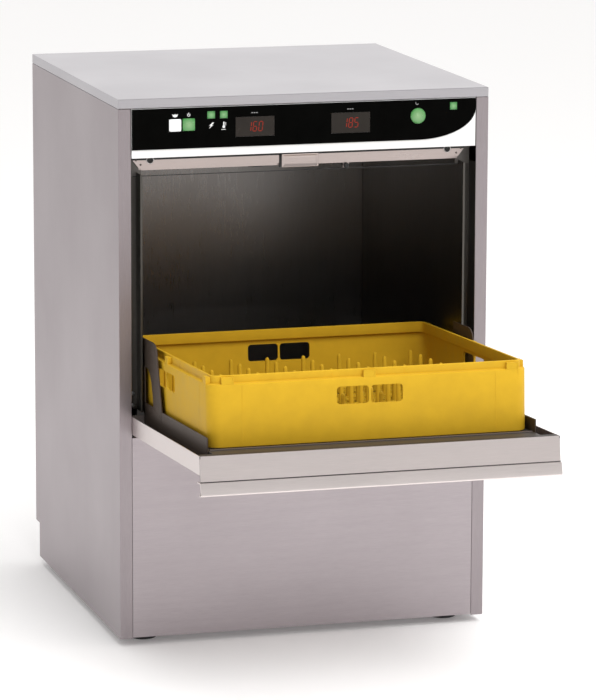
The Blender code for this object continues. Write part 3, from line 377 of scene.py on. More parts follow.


# one steel in lighter and darker copies: side, front and top differ as painted shade and painted light;
# inside, guide, liner, return and jamb are darkened as painted shade, insideBack a little less as painted
# reflection
steelColour = {"side": (0.360, 0.319, 0.332), "front": (0.430, 0.384, 0.400), "top": (0.480, 0.465, 0.486),
               "door": (0.640, 0.580, 0.565), "handle": (0.750, 0.685, 0.668),
               "header": (0.490, 0.420, 0.398), "inside": (0.105, 0.099, 0.090),
               "insideBack": (0.240, 0.232, 0.228),
               "guide": (0.084, 0.061, 0.047), "liner": (0.060, 0.052, 0.046),
               "return": (0.036, 0.030, 0.027), "jamb": (0.150, 0.140, 0.130)}
# waves in a metre, so that the grain is long one way
alongX, alongY, alongZ = (45, 900, 900), (900, 45, 900), (900, 900, 45)

# the casing's side, front and top are one steel: the sides are darker as painted shade and the top lighter as
# painted light
casingSide = sheetSteel("casingSide", steelColour["side"], alongZ, 0.42, 0.10, 0.16)
casingFront = sheetSteel("casingFront", steelColour["front"], alongX, 0.42, 0.09, 0.16)
casingTop = sheetSteel("casingTop", steelColour["top"], alongX, 0.38, 0.05, 0.12)
casingBack = sheetSteel("casingBack", steelColour["front"], alongX, 0.5, 0.12, 0.2)
doorSatin = sheetSteel("doorSatin", steelColour["door"], alongX, 0.40, 0.05, 0.10)
handleSatin = sheetSteel("handleSatin", steelColour["handle"], alongX, 0.40, 0.05, 0.10)
headerSatin = sheetSteel("headerSatin", steelColour["header"], alongX, 0.30, 0.05, 0.10)
# the chamber side walls and ceiling are steel darkened as painted shade; the back wall is less dark as
# painted reflection
insideShaded = sheetSteel("insideShaded", steelColour["inside"], alongZ, 0.34, 0.08, 0.10)
insideBack = sheetSteel("insideBack", steelColour["insideBack"], alongZ, 0.30, 0.06, 0.08)
# the guides' steel is darkened as painted shade under the rack
guideSteel = sheetSteel("guideSteel", steelColour["guide"], alongY, 0.55, 0.08, 0.12, metallic=0.5)
# the door's folded edge is near black and matte as painted shade
shadedReturn = sheetSteel("shadedReturn", steelColour["return"], alongX, 0.60, 0.08, 0.10, metallic=0.0)
# the jamb corner plates are steel darkened as painted shade
jambSteel = sheetSteel("jambSteel", steelColour["jamb"], alongZ, 0.50, 0.08, 0.10, metallic=0.6)
# the door liner's steel is darkened as painted shade and painted reflection of the dark chamber
linerSteel = sheetSteel("linerSteel", steelColour["liner"], alongX, 0.50, 0.08, 0.12, metallic=0.3)
tankSteel = sheetSteel("tankSteel", (0.42, 0.40, 0.39), alongX, 0.30, 0.07, 0.10)
armSteel = sheetSteel("armSteel", (0.60, 0.58, 0.57), alongX, 0.26, 0.06, 0.08)
boilerSteel = sheetSteel("boilerSteel", (0.55, 0.53, 0.52), alongY, 0.30, 0.07, 0.10)
zincSteel = sheetSteel("zincSteel", (0.48, 0.49, 0.50), (160, 160, 160), 0.45, 0.14, 0.15)
heaterSteel = sheetSteel("heaterSteel", (0.16, 0.14, 0.13), (120, 120, 120), 0.42, 0.2, 0.2)
brassMetal = sheetSteel("brassMetal", (0.66, 0.48, 0.20), (200, 200, 200), 0.32, 0.10, 0.15)
fasciaWhite = moulded("fasciaWhite", (0.83, 0.83, 0.825), 0.40, 0.0, 0.2, 0.06, 0.012)
overlayBlack = moulded("overlayBlack", (0.0018, 0.0018, 0.0016), 0.30, 0.0, 0.2, 0.05, 0.2, specular=0.01)
smokedGlass = moulded("smokedGlass", (0.025, 0.021, 0.018), 0.24, 0.0, 0.2, 0.04, 0.10, specular=0.10)
inkWhite = moulded("inkWhite", (0.80, 0.80, 0.80), 0.5, 0.0, 0.2, 0.05, 0.03)
inkGrey = moulded("inkGrey", (0.30, 0.30, 0.30), 0.5, 0.0, 0.2, 0.05, 0.03)
digitRed = moulded("digitRed", (0.08, 0.005, 0.003), 0.45, 0.0, 0.2, 0.02, 0.15, ((0.30, 0.030, 0.014), 0.8),
                   specular=0.1)
rubberBlack = moulded("rubberBlack", (0.018, 0.018, 0.019), 0.62, 0.0, 1.0, 0.35, 0.15)
footBlack = moulded("footBlack", (0.028, 0.028, 0.030), 0.55, 0.0, 1.0, 0.30, 0.15)
rackYellow = moulded("rackYellow", (0.610, 0.365, 0.021), 0.52, 0.0, 1.2, 0.18, 0.045, specular=0.12)
greyMoulding = moulded("greyMoulding", (0.15, 0.155, 0.165), 0.48, 0.0, 1.0, 0.25, 0.08)
motorPaint = moulded("motorPaint", (0.045, 0.05, 0.058), 0.42, 0.1, 1.0, 0.30, 0.12)
print("finishes made")


# ---- casing: the CAD sheets keep their shape and take a finish and soft folded edges

finishOf = (
    (casingSide, 0.0007, ("side_panel_left", "side_panel_right")),
    (casingFront, 0.0006, ("lower_front_panel",)),
    (casingTop, 0.0010, ("top_panel",)), (casingBack, 0.0006, ("back_panel",)),
    (casingBack, 0.0005, ("base_tray",)), (fasciaWhite, 0.0006, ("fascia_panel",)),
    (overlayBlack, 0.00025, ("fascia_overlay",)), (smokedGlass, 0.0002, ("display_left", "display_right")),
    (headerSatin, 0.0005, ("front_header",)),
    (insideShaded, 0.0004, ("chamber_wall_left", "chamber_wall_right", "chamber_ceiling")),
    (insideBack, 0.0004, ("chamber_wall_back",)), (tankSteel, 0.0005, ("wash_tank", "filter_tray")),
    (armSteel, 0.0005, ("rack_rail_left", "rack_rail_right")), (armSteel, 0.0004, ("hinge_shaft",)),
    (doorSatin, 0.0006, ("door_skin",)), (linerSteel, 0.0005, ("door_liner",)),
    (zincSteel, 0.0004, ("hinge_block_left", "hinge_block_right")),
    (boilerSteel, 0.0008, ("booster_heater",)),
    (greyMoulding, 0.0008, ("control_box",)), (greyMoulding, 0.0015, ("spray_manifold",)),
    (greyMoulding, 0.0010, ("pump_volute", "drain_pump")), (motorPaint, 0.0010, ("pump_motor",)),
    (greyMoulding, 0.0006, ("pump_impeller", "overflow_standpipe")), (heaterSteel, 0.0004, ("tank_heater",)),
    (rubberBlack, 0.0004, ("suction_pipe", "damper_roller")), (rubberBlack, 0.0003, ("door_switch",)),
    (guideSteel, 0.0005, ("guide_left", "guide_right")))
for finish, width, labels in finishOf:
    for label in labels:
        nodes[label].data.materials.clear()
        nodes[label].data.materials.append(finish)
        roundEdges(nodes[label], width)
print("casing finished")


# ---- screws and rivets

screw = {"radius": 0.0036, "height": 0.0016, "rivetRadius": 0.0017, "rivetHeight": 0.0008}


def panHead(centre, axis, side, radius, height, slotted=True):
    profile = [(0, 0)]
    steps = 6
    for step in range(steps + 1):
        angle = math.pi / 2 * step / steps
        profile.append((radius * math.cos(angle * 0.999), side * height * math.sin(angle)))
    profile[-1] = (0, side * height)
    mesh = turned(profile, centre, axis, 24)
    if not slotted:
        return mesh
    others = [a for a in range(3) if a != axis]
    for first, second in (others, others[::-1]):  # a raised cross stands for the driver's recess
        reach = [0, 0, 0]
        reach[first] = radius * 0.55
        reach[second] = radius * 0.11
        reach[axis] = height * 0.10
        core = bmesh.new()
        bmesh.ops.create_cube(core, size=2)
        place = Vector(centre)
        place[axis] += side * height * 0.93
        for vertex in core.verts:
            vertex.co = Vector([vertex.co[a] * reach[a] for a in range(3)]) + place
        merge(mesh, core)
    return mesh


def screwRow(name, places, axis, side, body, material=zincSteel, rivets=False):
    mesh = bmesh.new()
    radius = screw["rivetRadius"] if rivets else screw["radius"]
    height = screw["rivetHeight"] if rivets else screw["height"]
    for place in places:
        merge(mesh, panHead(place, axis, side, radius, height, not rivets))
    return addPiece(name, mesh, material, body, 40)


headerLow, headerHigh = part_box("front_header")
bumperZ = middle("bumper_left").z
headerRivet = {"outerX": 0.2645, "outerRise": 0.0005, "innerX": 0.2572, "innerRise": -0.0068}
rivets = []
for sign in (-1, 1):
    for spot in ("outer", "inner"):
        rivets.append((sign * headerRivet[spot + "X"], headerLow.y, bumperZ + headerRivet[spot + "Rise"]))
screwRow("headerRivets", rivets, 1, -1, "cabinet", heaterSteel, rivets=True)

pocketScrew = {"x": 0.2705, "behindHinge": 0.028, "overHinge": (0.034, 0.053)}
pocketY = hinge.y + pocketScrew["behindHinge"]
for label, sign in (("pocketScrewsLeft", -1), ("pocketScrewsRight", 1)):
    places = [(sign * pocketScrew["x"], pocketY, hinge.z + rise) for rise in pocketScrew["overHinge"]]
    screwRow(label, places, 1, -1, "cabinet")

backLow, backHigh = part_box("back_panel")
backScrew = {"edge": 0.012, "levels": (0.110, 0.340, 0.590, 0.836), "proud": 0.0002}
backPlaces = []
for x in (backLow.x + backScrew["edge"], 0.0, backHigh.x - backScrew["edge"]):
    for z in backScrew["levels"]:
        backPlaces.append((x, backHigh.y - backScrew["proud"] / 2, z))
flush = bmesh.new()
for place in backPlaces:
    merge(flush, panHead(place, 1, 1, screw["radius"], backScrew["proud"]))
addPiece("backScrews", flush, zincSteel, "cabinet", 40)

notch = {"inner": 0.2838, "outer": 0.2984, "level": 0.4850, "sheet": 0.0010, "low": 0.0136, "high": 0.0830}


def notchEnds():  # small plates that close the ends of the recess for the pipes
    mesh = bmesh.new()
    for sign in (-1, 1):
        plate(mesh, sign * notch["inner"], sign * notch["outer"], notch["low"], notch["high"],
              notch["level"] - notch["sheet"], notch["level"])
    return mesh


addPiece("notchEnds", notchEnds(), casingBack, "cabinet")


backSlot = {"rows": 5, "columns": 3, "pitchX": 0.105, "pitchZ": 0.022, "bottom": 0.155, "halfLength": 0.040,
            "halfHeight": 0.0035, "corner": 0.0034, "depth": 0.0008, "proud": 0.0001}


def backLouvres():  # rows of pressed slots that let the motor's heat out, drawn as black slabs whose black is painted shade for the openings
    mesh = bmesh.new()
    outline = roundedBox(backSlot["halfLength"], backSlot["halfHeight"], backSlot["corner"], 4)
    for row in range(backSlot["rows"]):
        for column in range(backSlot["columns"]):
            x = (column - (backSlot["columns"] - 1) / 2) * backSlot["pitchX"]
            z = backSlot["bottom"] + row * backSlot["pitchZ"]
            merge(mesh, slab([(x + a, z + b) for a, b in outline], backHigh.y - backSlot["depth"],
                             backHigh.y + backSlot["proud"], lambda a, b, level: (a, level, b)))
    return mesh


addPiece("backSlots", backLouvres(), rubberBlack, "cabinet")
print("fixings made")


# ---- control fascia

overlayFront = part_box("fascia_overlay")[0].y
ink = {"height": 0.00012, "sink": 0.00005}


def printed(name, shapes, material, front=overlayFront):
    mesh = bmesh.new()
    for points in shapes:
        merge(mesh, slab(points, front - ink["height"], front + ink["sink"],
                         lambda a, b, level: (a, level, b)))
    return addPiece(name, mesh, material, "cabinet")


def inMillimetres(x, z, points):
    return [(x + a / 1000, z + b / 1000) for a, b in points]


def ringShape(x, z, inner, outer, start, end, steps=14):
    points = []
    for radius, order in ((outer, range(steps + 1)), (inner, range(steps, -1, -1))):
        for step in order:
            angle = math.radians(start + (end - start) * step / steps)
            points.append((x + radius * math.cos(angle) / 1000, z + radius * math.sin(angle) / 1000))
    return points


def strip(x, z, halfWidth, halfHeight):
    return inMillimetres(x, z, roundedBox(halfWidth, halfHeight, min(halfWidth, halfHeight) * 0.4, 2))


fill, power = middle("button_fill"), middle("button_power")
lampLeft, lampMiddle = middle("lamp_left"), middle("lamp_middle")
displayLeft, displayRight = middle("display_left"), middle("display_right")
start = middle("button_start")
symbolZ = {"overKeys": 0.0152, "underLamps": -0.0165, "overWindows": 0.0215, "overStart": 0.0192}

basin = [(-4.8, 2.4), (-2.6, 0.9), (-1.2, 2.3), (0, 1.2), (1.2, 2.3), (2.6, 0.9), (4.8, 2.4),
         (3.4, -1.6), (1.0, -2.6), (-1.0, -2.6), (-3.4, -1.6)]
bolt = [(2.4, 4.8), (-3.4, -0.3), (-0.6, -0.1), (-3.2, -5.0), (3.4, 0.9), (0.8, 0.7), (4.6, 4.0)]
symbols = [inMillimetres(fill.x, fill.z + symbolZ["overKeys"], basin)]
symbols.append(ringShape(power.x, power.z + symbolZ["overKeys"] - 0.0002, 1.7, 2.5, -235, 55))
symbols.append(strip(power.x, power.z + symbolZ["overKeys"] + 0.0017, 0.42, 1.7))
symbols.append(inMillimetres(lampLeft.x, lampLeft.z + symbolZ["underLamps"], bolt))
bulb = (lampMiddle.x, lampMiddle.z + symbolZ["underLamps"] - 0.0022)
symbols.append(ringShape(bulb[0], bulb[1], 0.01, 2.3, 0, 350))
symbols.append(strip(bulb[0], bulb[1] + 0.0046, 0.85, 3.0))
for rise in (2.6, 4.4, 6.2):
    symbols.append(strip(bulb[0] + 0.0027, bulb[1] + rise / 1000, 1.1, 0.30))
symbols.append(strip(bulb[0] - 0.0005, bulb[1] - 0.0043, 3.6, 0.34))
printed("fasciaSymbols", symbols, inkWhite)

captions = []
for window in (displayLeft, displayRight):  # three short waves over each window
    for step in (-1, 0, 1):
        captions.append(strip(window.x - 0.001 + step * 0.0037, window.z + symbolZ["overWindows"], 1.3, 0.62))
captions.append(ringShape(start.x - 0.0015, start.z + symbolZ["overStart"] + 0.0012, 1.9, 2.9, 150, 330))
printed("fasciaCaptions", captions, inkGrey)

digitShape = {"width": 0.0058, "height": 0.0146, "line": 0.00125, "pitch": 0.0092, "slant": 0.12}
segmentsOf = {"0": "abcdef", "1": "bc", "5": "acdfg", "6": "acdefg", "8": "abcdefg"}


def digitSegments(text, centre):
    shapes = []
    half, tall, line = digitShape["width"] / 2, digitShape["height"] / 2, digitShape["line"]
    ends = {"a": (-half, tall, half, tall), "g": (-half, 0, half, 0), "d": (-half, -tall, half, -tall),
            "b": (half, 0, half, tall), "c": (half, -tall, half, 0),
            "e": (-half, -tall, -half, 0), "f": (-half, 0, -half, tall)}
    for index, character in enumerate(text):
        middleX = (index - (len(text) - 1) / 2) * digitShape["pitch"]
        for segment in segmentsOf[character]:
            x0, z0, x1, z1 = ends[segment]
            along = Vector((x1 - x0, z1 - z0)).normalized()
            across = Vector((-along.y, along.x)) * line / 2
            first = Vector((x0, z0)) + along * line * 0.35
            last = Vector((x1, z1)) - along * line * 0.35
            tip = along * line / 2
            points = [first, first + tip + across, last - tip + across, last, last - tip - across,
                      first + tip - across]
            shapes.append([(centre.x + middleX + p.x + p.y * digitShape["slant"], centre.z + p.y)
                           for p in points])
    return shapes


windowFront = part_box("display_left")[0].y
printed("readingLeft", digitSegments("160", displayLeft), digitRed, windowFront)
printed("readingRight", digitSegments("185", displayRight), digitRed, windowFront)

keyLook = {"green": ((0.20, 0.36, 0.165), (0.032, 0.205, 0.038)),
           "white": ((0.92, 0.93, 0.93), (0.86, 0.87, 0.87)),
           "lamp": ((0.17, 0.36, 0.15), (0.015, 0.15, 0.022))}


def squareKey(name, node, body, look, glow, corner, crown):
    low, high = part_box(node)
    centre = (low + high) / 2
    halfX, halfZ = (high.x - low.x) / 2, (high.z - low.z) / 2
    rings = [[(centre.x + a, high.y, centre.z + b) for a, b in roundedBox(halfX, halfZ, corner)]]
    steps = 5
    for step in range(steps + 1):  # the face rolls over its edge into a slightly crowned front
        angle = math.pi / 2 * step / steps
        inset = crown * (1 - math.cos(angle))
        y = low.y + crown * (1 - math.sin(angle)) + 0.00012
        outline = roundedBox(halfX - inset, halfZ - inset, max(corner - inset * 0.5, 0.0004))
        rings.append([(centre.x + a, y, centre.z + b) for a, b in outline])
    outline = roundedBox(halfX * 0.45, halfZ * 0.45, corner * 0.6)
    rings.append([(centre.x + a, low.y, centre.z + b) for a, b in outline])
    finish = litCap(name + "Finish", centre, halfX * 1.15, look[0], look[1], glow)
    return addPiece(name, loft(rings), finish, body, 50, (node,))


# the white fill key's faint glow and lighter middle are painted light
squareKey("fillKey", "button_fill", "fill_key", keyLook["white"], 0.20, 0.0024, 0.0009)
squareKey("powerKey", "button_power", "power_key", keyLook["green"], 0.10, 0.0024, 0.0009)
for node in ("lamp_left", "lamp_middle", "lamp_right"):
    label = node.split("_")[1]
    squareKey(label + "Lamp", node, "cabinet", keyLook["lamp"], 0.10, 0.0008, 0.0003)

startLow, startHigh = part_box("button_start")
startRadius = (startHigh.x - startLow.x) / 2
depth = startHigh.y - startLow.y
startProfile = [(0, 0), (startRadius * 0.62, 0.00005), (startRadius * 0.86, 0.0004),
                (startRadius * 0.90, 0.0008),
                (startRadius * 0.93, 0.0005), (startRadius * 0.975, 0.0007), (startRadius, 0.0016),
                (startRadius, depth), (0, depth)]
startFinish = litCap("startKeyFinish", start, startRadius * 1.1,
                     (0.21, 0.36, 0.17), (0.034, 0.21, 0.04), 0.10)
addPiece("startKey", turned(startProfile, (start.x, startLow.y, start.z), 1, 64), startFinish, "start_key",
         40, ("button_start",))
print("fascia made")


# ---- header fittings

catch = {"edge": 0.0004, "rim": 0.0022, "recess": 0.0003, "flat": 0.0060, "corner": 0.0016}


def makeCatch():
    low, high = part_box("door_catch")
    front, back = low.y, high.y
    halfX, centreZ, halfZ = (high.x - low.x) / 2, (low.z + high.z) / 2, (high.z - low.z) / 2
    rings = []
    for inset, y in ((0, back), (0, front + catch["edge"]), (catch["edge"], front), (catch["rim"], front),
                     (catch["rim"] + catch["edge"], front + catch["recess"]),
                     (catch["flat"], front + catch["recess"])):
        outline = roundedBox(halfX - inset, halfZ - inset, max(catch["corner"] - inset / 2, 0.0006))
        rings.append([(a, y, centreZ + b) for a, b in outline])
    addPiece("catchPlate", loft(rings), headerSatin, "cabinet", 40, ("door_catch",))


makeCatch()

# sizes of the black strips that are painted shade under the fascia, along the header's bottom edge and round
# the catch, and of the darkened jamb corner plates
shadeStrip = {"proud": 0.0004, "drop": 0.0074, "height": 0.0050, "edgeShade": 0.0012, "catchGap": 0.0012,
        "catchSide": 0.0042, "jambInner": 0.2560, "jambOuter": 0.2797, "jambBack": 0.0030}


def makeHeaderShade():  # painted shade: a black strip under the fascia, a black strip along the header's bottom edge and a black pad behind the catch, wider on its left and top, that stands for the catch's shadow; then the jamb corner plates
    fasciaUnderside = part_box("fascia_panel")[0].z
    catchLow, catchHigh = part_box("door_catch")
    gap, side = shadeStrip["catchGap"], shadeStrip["catchSide"]
    shadeStripLow = fasciaUnderside - shadeStrip["drop"]
    mesh = bmesh.new()
    for x0, x1, z0, z1 in ((headerLow.x, headerHigh.x, shadeStripLow, shadeStripLow + shadeStrip["height"]),
                           (headerLow.x, headerHigh.x, headerLow.z, headerLow.z + shadeStrip["edgeShade"]),
                           (catchLow.x - side, catchHigh.x - gap, catchLow.z + gap, catchHigh.z + gap)):
        plate(mesh, x0, x1, z0, z1, headerLow.y - shadeStrip["proud"], headerLow.y + shadeStrip["proud"] / 2)
    addPiece("headerShadeStrips", mesh, rubberBlack, "cabinet")
    # the jamb corner plates, darkened as painted shade
    jamb = bmesh.new()
    level = headerLow.y + shadeStrip["jambBack"]
    for sign in (-1, 1):
        plate(jamb, sign * shadeStrip["jambInner"], sign * shadeStrip["jambOuter"], headerLow.z, fasciaUnderside, level,
              level + shadeStrip["proud"])
    addPiece("jambCorners", jamb, jambSteel, "cabinet")


makeHeaderShade()


def makeBumper(node, name):
    low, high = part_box(node)
    centre = (low + high) / 2
    radius = (high.x - low.x) / 2
    place = (centre.x, low.y, centre.z)
    rubber = [(0, 0.0004), (radius * 0.30, 0.0003), (radius * 0.42, 0), (radius * 0.66, 0.0001),
              (radius * 0.74, 0.0007), (radius * 0.74, 0.0011), (0, 0.0011)]
    addPiece(name, turned(rubber, place, 1), rubberBlack, "cabinet", 40, (node,))
    ring = [(radius * 0.76, 0.0008), (radius * 0.84, 0.0004), (radius * 0.94, 0.0005), (radius, 0.0010),
            (radius, 0.0013), (radius * 0.76, 0.0013)]
    addPiece(name + "Ring", turned(ring, place, 1), armSteel, "cabinet", 40)


makeBumper("bumper_left", "leftBumper")
makeBumper("bumper_right", "rightBumper")
print("header made")


# ---- door

handle = {"sheet": 0.0015, "bend": 0.0016, "front": 0.4236, "top": -0.0171, "drop": 0.0205, "flange": 0.0178,
          "slant": 0.0032, "lip": 0.0058, "lipRise": 0.0044, "ease": 0.0004, "lift": 0.0003}
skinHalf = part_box("door_skin")[1].x
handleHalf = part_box("door_handle")[1].x


def makeHandle():
    end, half, top = handle["front"], handle["sheet"] / 2, handle["top"] - handle["sheet"] / 2
    bottom = handle["top"] - handle["drop"]
    corners = [(end - handle["flange"], top), (end - half - handle["ease"], top),
               (end + handle["slant"] - half, bottom + half + handle["lift"]),
               (end - handle["lip"], bottom + half + handle["lift"]),
               (end - handle["lip"], bottom + handle["lipRise"])]
    outline = folded(corners, handle["sheet"], handle["bend"])
    mesh = slab(outline, -handleHalf, handleHalf, lambda a, b, level: onDoor(level, a, b))
    addPiece("handleBar", mesh, handleSatin, "door", 40, ("door_handle",))


makeHandle()

guide = {"weld": 0.0030, "weldHeight": 0.0003, "weldPlaces": (0.020, 0.055, 0.090), "weldUp": 0.034,
         "step": ((0.1062, 0.0245), (0.1050, 0.0420)), "stepWidth": 0.0009, "stepProud": 0.00025}


def guideSeam(sign, name):  # the upright plate is spot welded to the rail, with a fine step between them
    low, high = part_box("guide_right")
    mesh = bmesh.new()
    face = sign * (high.x + guide["stepProud"])
    (out0, up0), (out1, up1) = guide["step"]
    outline = [(out0, up0), (out0 + guide["stepWidth"], up0), (out1 + guide["stepWidth"], up1), (out1, up1)]
    merge(mesh, slab(outline, sign * high.x, face, lambda a, b, level: onDoor(level, a, b)))
    for out in guide["weldPlaces"]:
        place = onDoor(sign * high.x, out, guide["weldUp"])
        merge(mesh, panHead(place, 0, sign, guide["weld"], guide["weldHeight"], False))
    addPiece(name, mesh, guideSteel, "door", 40)


guideSeam(-1, "guideWeldsLeft")
guideSeam(1, "guideWeldsRight")

edge = {"film": 0.0002, "returnStart": 0.4026, "returnEnd": 0.4171, "inner": 0.0222, "beadStart": 0.3709,
        "beadEnd": 0.3731, "beadTop": 0.0242, "beadHalf": 0.2518, "beadDepth": 0.0012,
        "seam": 0.0010, "short": 0.001}
edge["face"] = [(0.4166, 0.0221), (0.4176, 0.0221), (0.4186, -0.0063), (0.4210, -0.0168), (0.4200, -0.0168),
                (0.4176, -0.0063)]  # the front sheet, from its fold down to the handle
edge["joint"] = [(0.4195, -0.0168), (0.4211, -0.0168), (0.4208, -0.0157), (0.4192, -0.0157)]


def doorBlock(mesh, x0, x1, out0, out1, up0, up1):
    outline = [(out0, up0), (out1, up0), (out1, up1), (out0, up1)]
    merge(mesh, slab(outline, x0, x1, lambda a, b, level: onDoor(level, a, b)))


def makeDoorEdge():  # the folded edge's strip, a thin near-black sheet that is painted shade, and the polished top of the bead behind it
    film = edge["film"]
    reach = skinHalf - edge["short"]
    fold = bmesh.new()
    doorBlock(fold, -reach, reach, edge["returnStart"], edge["returnEnd"], edge["inner"] - film,
              edge["inner"] + film)
    addPiece("doorEdgeStrip", fold, shadedReturn, "door")
    bead = bmesh.new()
    doorBlock(bead, -edge["beadHalf"], edge["beadHalf"], edge["beadStart"], edge["beadEnd"],
              edge["beadTop"] - edge["beadDepth"], edge["beadTop"] + film)
    addPiece("linerBead", bead, headerSatin, "door")
    seams = bmesh.new()
    for sign in (-1, 1):
        merge(seams, slab(edge["face"], sign * (skinHalf - edge["seam"]), sign * (skinHalf + film / 4),
                          lambda a, b, level: onDoor(level, a, b)))
    merge(seams, slab(edge["joint"], -reach, reach, lambda a, b, level: onDoor(level, a, b)))
    addPiece("doorSeams", seams, rubberBlack, "door")


makeDoorEdge()
print("door made")


# ---- dish rack

rack = {"size": 0.500, "height": 0.1075, "wall": 0.0030, "ledge": 0.0950, "inset": 0.0070, "corner": 0.020,
        "grip": (0.0515, 0.0555, 0.0825), "gripCorner": 0.0055, "bars": 6, "pegRows": 9, "pegColumns": 8,
        "pegHeight": 0.066, "overhang": 0.360, "lift": 0.0233}


def onRack(x, y, z):  # y runs from the front wall to the back wall, z stands on the rack's floor
    return onDoor(x, rack["overhang"] - rack["size"] / 2 - y, rack["lift"] + z)


def rackRing(size, radius, level, steps=8):
    return [onRack(a, b, level) for a, b in roundedBox(size, size, radius, steps)]


def makeRackWall():
    half, corner = rack["size"] / 2, rack["corner"]
    wall, ledge, inset, top = rack["wall"], rack["ledge"], rack["inset"], rack["height"]
    profile = [(0.0022, 0.0), (0.0006, 0.0005), (0.0, 0.0022), (0.0, ledge - 0.0018),
               (0.0005, ledge - 0.0004), (0.0018, ledge), (inset - 0.0008, ledge + 0.0003),
               (inset, ledge + 0.0012), (inset, top - 0.0012),
               (inset + 0.0006, top - 0.0002), (inset + 0.0014, top), (inset + 0.0026, top),
               (inset + 0.0034, top - 0.0008), (inset + 0.0034, ledge - 0.0030),
               (inset + 0.0028, ledge - 0.0042),
               (wall + 0.0010, ledge - 0.0052), (wall, ledge - 0.0068), (wall + 0.0004, 0.0070),
               (wall + 0.0030, 0.0050), (wall + 0.0030, 0.0)]
    rings = [rackRing(half - inward, corner - inward, level) for inward, level in profile]
    piece = addPiece("rackWall", loft(rings, closed=True), rackYellow, "rack", 30, ("dish_rack",))
    cutters = bmesh.new()
    reach, low, high = rack["grip"]
    for near in (-1, 1):
        for side in (-1, 1):
            centre, halfLong = side * (0.0015 + reach) / 2, (reach - 0.0015) / 2
            outline = roundedBox(halfLong, (high - low) / 2, rack["gripCorner"], 5)
            shape = [(centre + a, (low + high) / 2 + b) for a, b in outline]
            span = (near * (half - 0.012), near * (half + 0.012))
            merge(cutters, slab(shape, *span, lambda a, b, level: onRack(a, level, b)))
            merge(cutters, slab(shape, *span, lambda a, b, level: onRack(level, a, b)))
    bmesh.ops.recalc_face_normals(cutters, faces=cutters.faces)
    data = bpy.data.meshes.new("rackGripCutter")
    cutters.to_mesh(data)
    cutters.free()
    cutter = bpy.data.objects.new("rackGripCutter", data)
    bpy.context.scene.collection.objects.link(cutter)
    cut = piece.modifiers.new("grips", "BOOLEAN")
    cut.operation = "DIFFERENCE"
    cut.solver = "EXACT"
    cut.object = cutter
    bpy.context.view_layer.update()
    graph = bpy.context.evaluated_depsgraph_get()
    done = bpy.data.meshes.new_from_object(piece.evaluated_get(graph))
    piece.modifiers.clear()
    piece.data = done
    bpy.data.objects.remove(cutter)
    done.set_sharp_from_angle(angle=math.radians(30))


makeRackWall()


def rackBox(mesh, x0, x1, y0, y1, z0, z1, taper=0.0):
    rings = []
    for level, shrink in ((z0, 0.0), (z1, taper)):
        rings.append([onRack(x0 + shrink, y0 + shrink, level), onRack(x1 - shrink, y0 + shrink, level),
                      onRack(x1 - shrink, y1 - shrink, level), onRack(x0 + shrink, y1 - shrink, level)])
    merge(mesh, loft(rings))


def onSide(turn, a, b):  # the same place on each of the four walls
    return ((a, b), (-b, a), (-a, -b), (b, -a))[turn]


def rackBlock(mesh, turn, x0, x1, y0, y1, z0, z1, taper=0.0):
    (ax, ay), (bx, by) = onSide(turn, x0, y0), onSide(turn, x1, y1)
    rackBox(mesh, min(ax, bx), max(ax, bx), min(ay, by), max(ay, by), z0, z1, taper)


trim = {"lugs": (-0.2200, 0.0, 0.2255), "lugHalf": 0.0095, "lugHeight": 0.0100, "ribStart": 0.0075,
        "ribDrop": 0.0070, "ridges": (-0.057, 0.057), "ridgeHalf": 0.0007, "ridgeHeight": 0.0085,
        "seams": (-0.198, 0.198), "seamHalf": 0.0006, "seamProud": 0.00025}


def makeRackTrim():  # stacking lugs on the ledge, thin mould seams, and short ridges on the rim
    mesh = bmesh.new()
    half, ledge, inset = rack["size"] / 2, rack["ledge"], rack["inset"]
    wide, high = trim["lugHalf"], ledge + trim["lugHeight"]
    for turn in range(4):
        for x in trim["lugs"]:
            rackBlock(mesh, turn, x - wide, x + wide, -half + 0.0006, -half + inset + 0.0006, ledge - 0.0002,
                      high, 0.0002)
            rackBlock(mesh, turn, x + trim["ribStart"], x + wide, -half, -half + 0.0012,
                      ledge - trim["ribDrop"], high, 0.0002)
        for x in trim["ridges"]:
            rackBlock(mesh, turn, x - trim["ridgeHalf"], x + trim["ridgeHalf"], -half + inset - 0.0004,
                      -half + inset + 0.001, ledge, ledge + trim["ridgeHeight"])
        for x in trim["seams"]:
            rackBlock(mesh, turn, x - trim["seamHalf"], x + trim["seamHalf"], -half - trim["seamProud"],
                      -half + 0.001, 0.004, ledge - 0.003)
    return addPiece("rackTrim", mesh, rackYellow, "rack")


makeRackTrim()


def makeRackFloor():  # broad bars with a finer lattice between them
    mesh = bmesh.new()
    half = rack["size"] / 2
    reach, inner, count = half - 0.0022, half - 0.0200, rack["bars"]
    pitch = 2 * inner / count
    for direction in (0, 1):
        lift = 0.00015 * direction
        for index in range(count + 1):
            centre = -inner + pitch * index
            ends = reach if 0 < index < count else reach - 0.0165
            spots = [(centre, 0.0035, 0.0010, 0.0050, ends)]
            if index < count:
                for part in (1, 2, 3):
                    spots.append((centre + pitch * part / 4, 0.0013, 0.0015, 0.0042, reach - 0.002))
            for place, width, low, high, end in spots:
                if direction:
                    rackBox(mesh, -end, end, place - width, place + width, low + lift, high - lift, 0.0004)
                else:
                    rackBox(mesh, place - width, place + width, -end, end, low, high, 0.0004)
    return addPiece("rackFloor", mesh, rackYellow, "rack")


makeRackFloor()


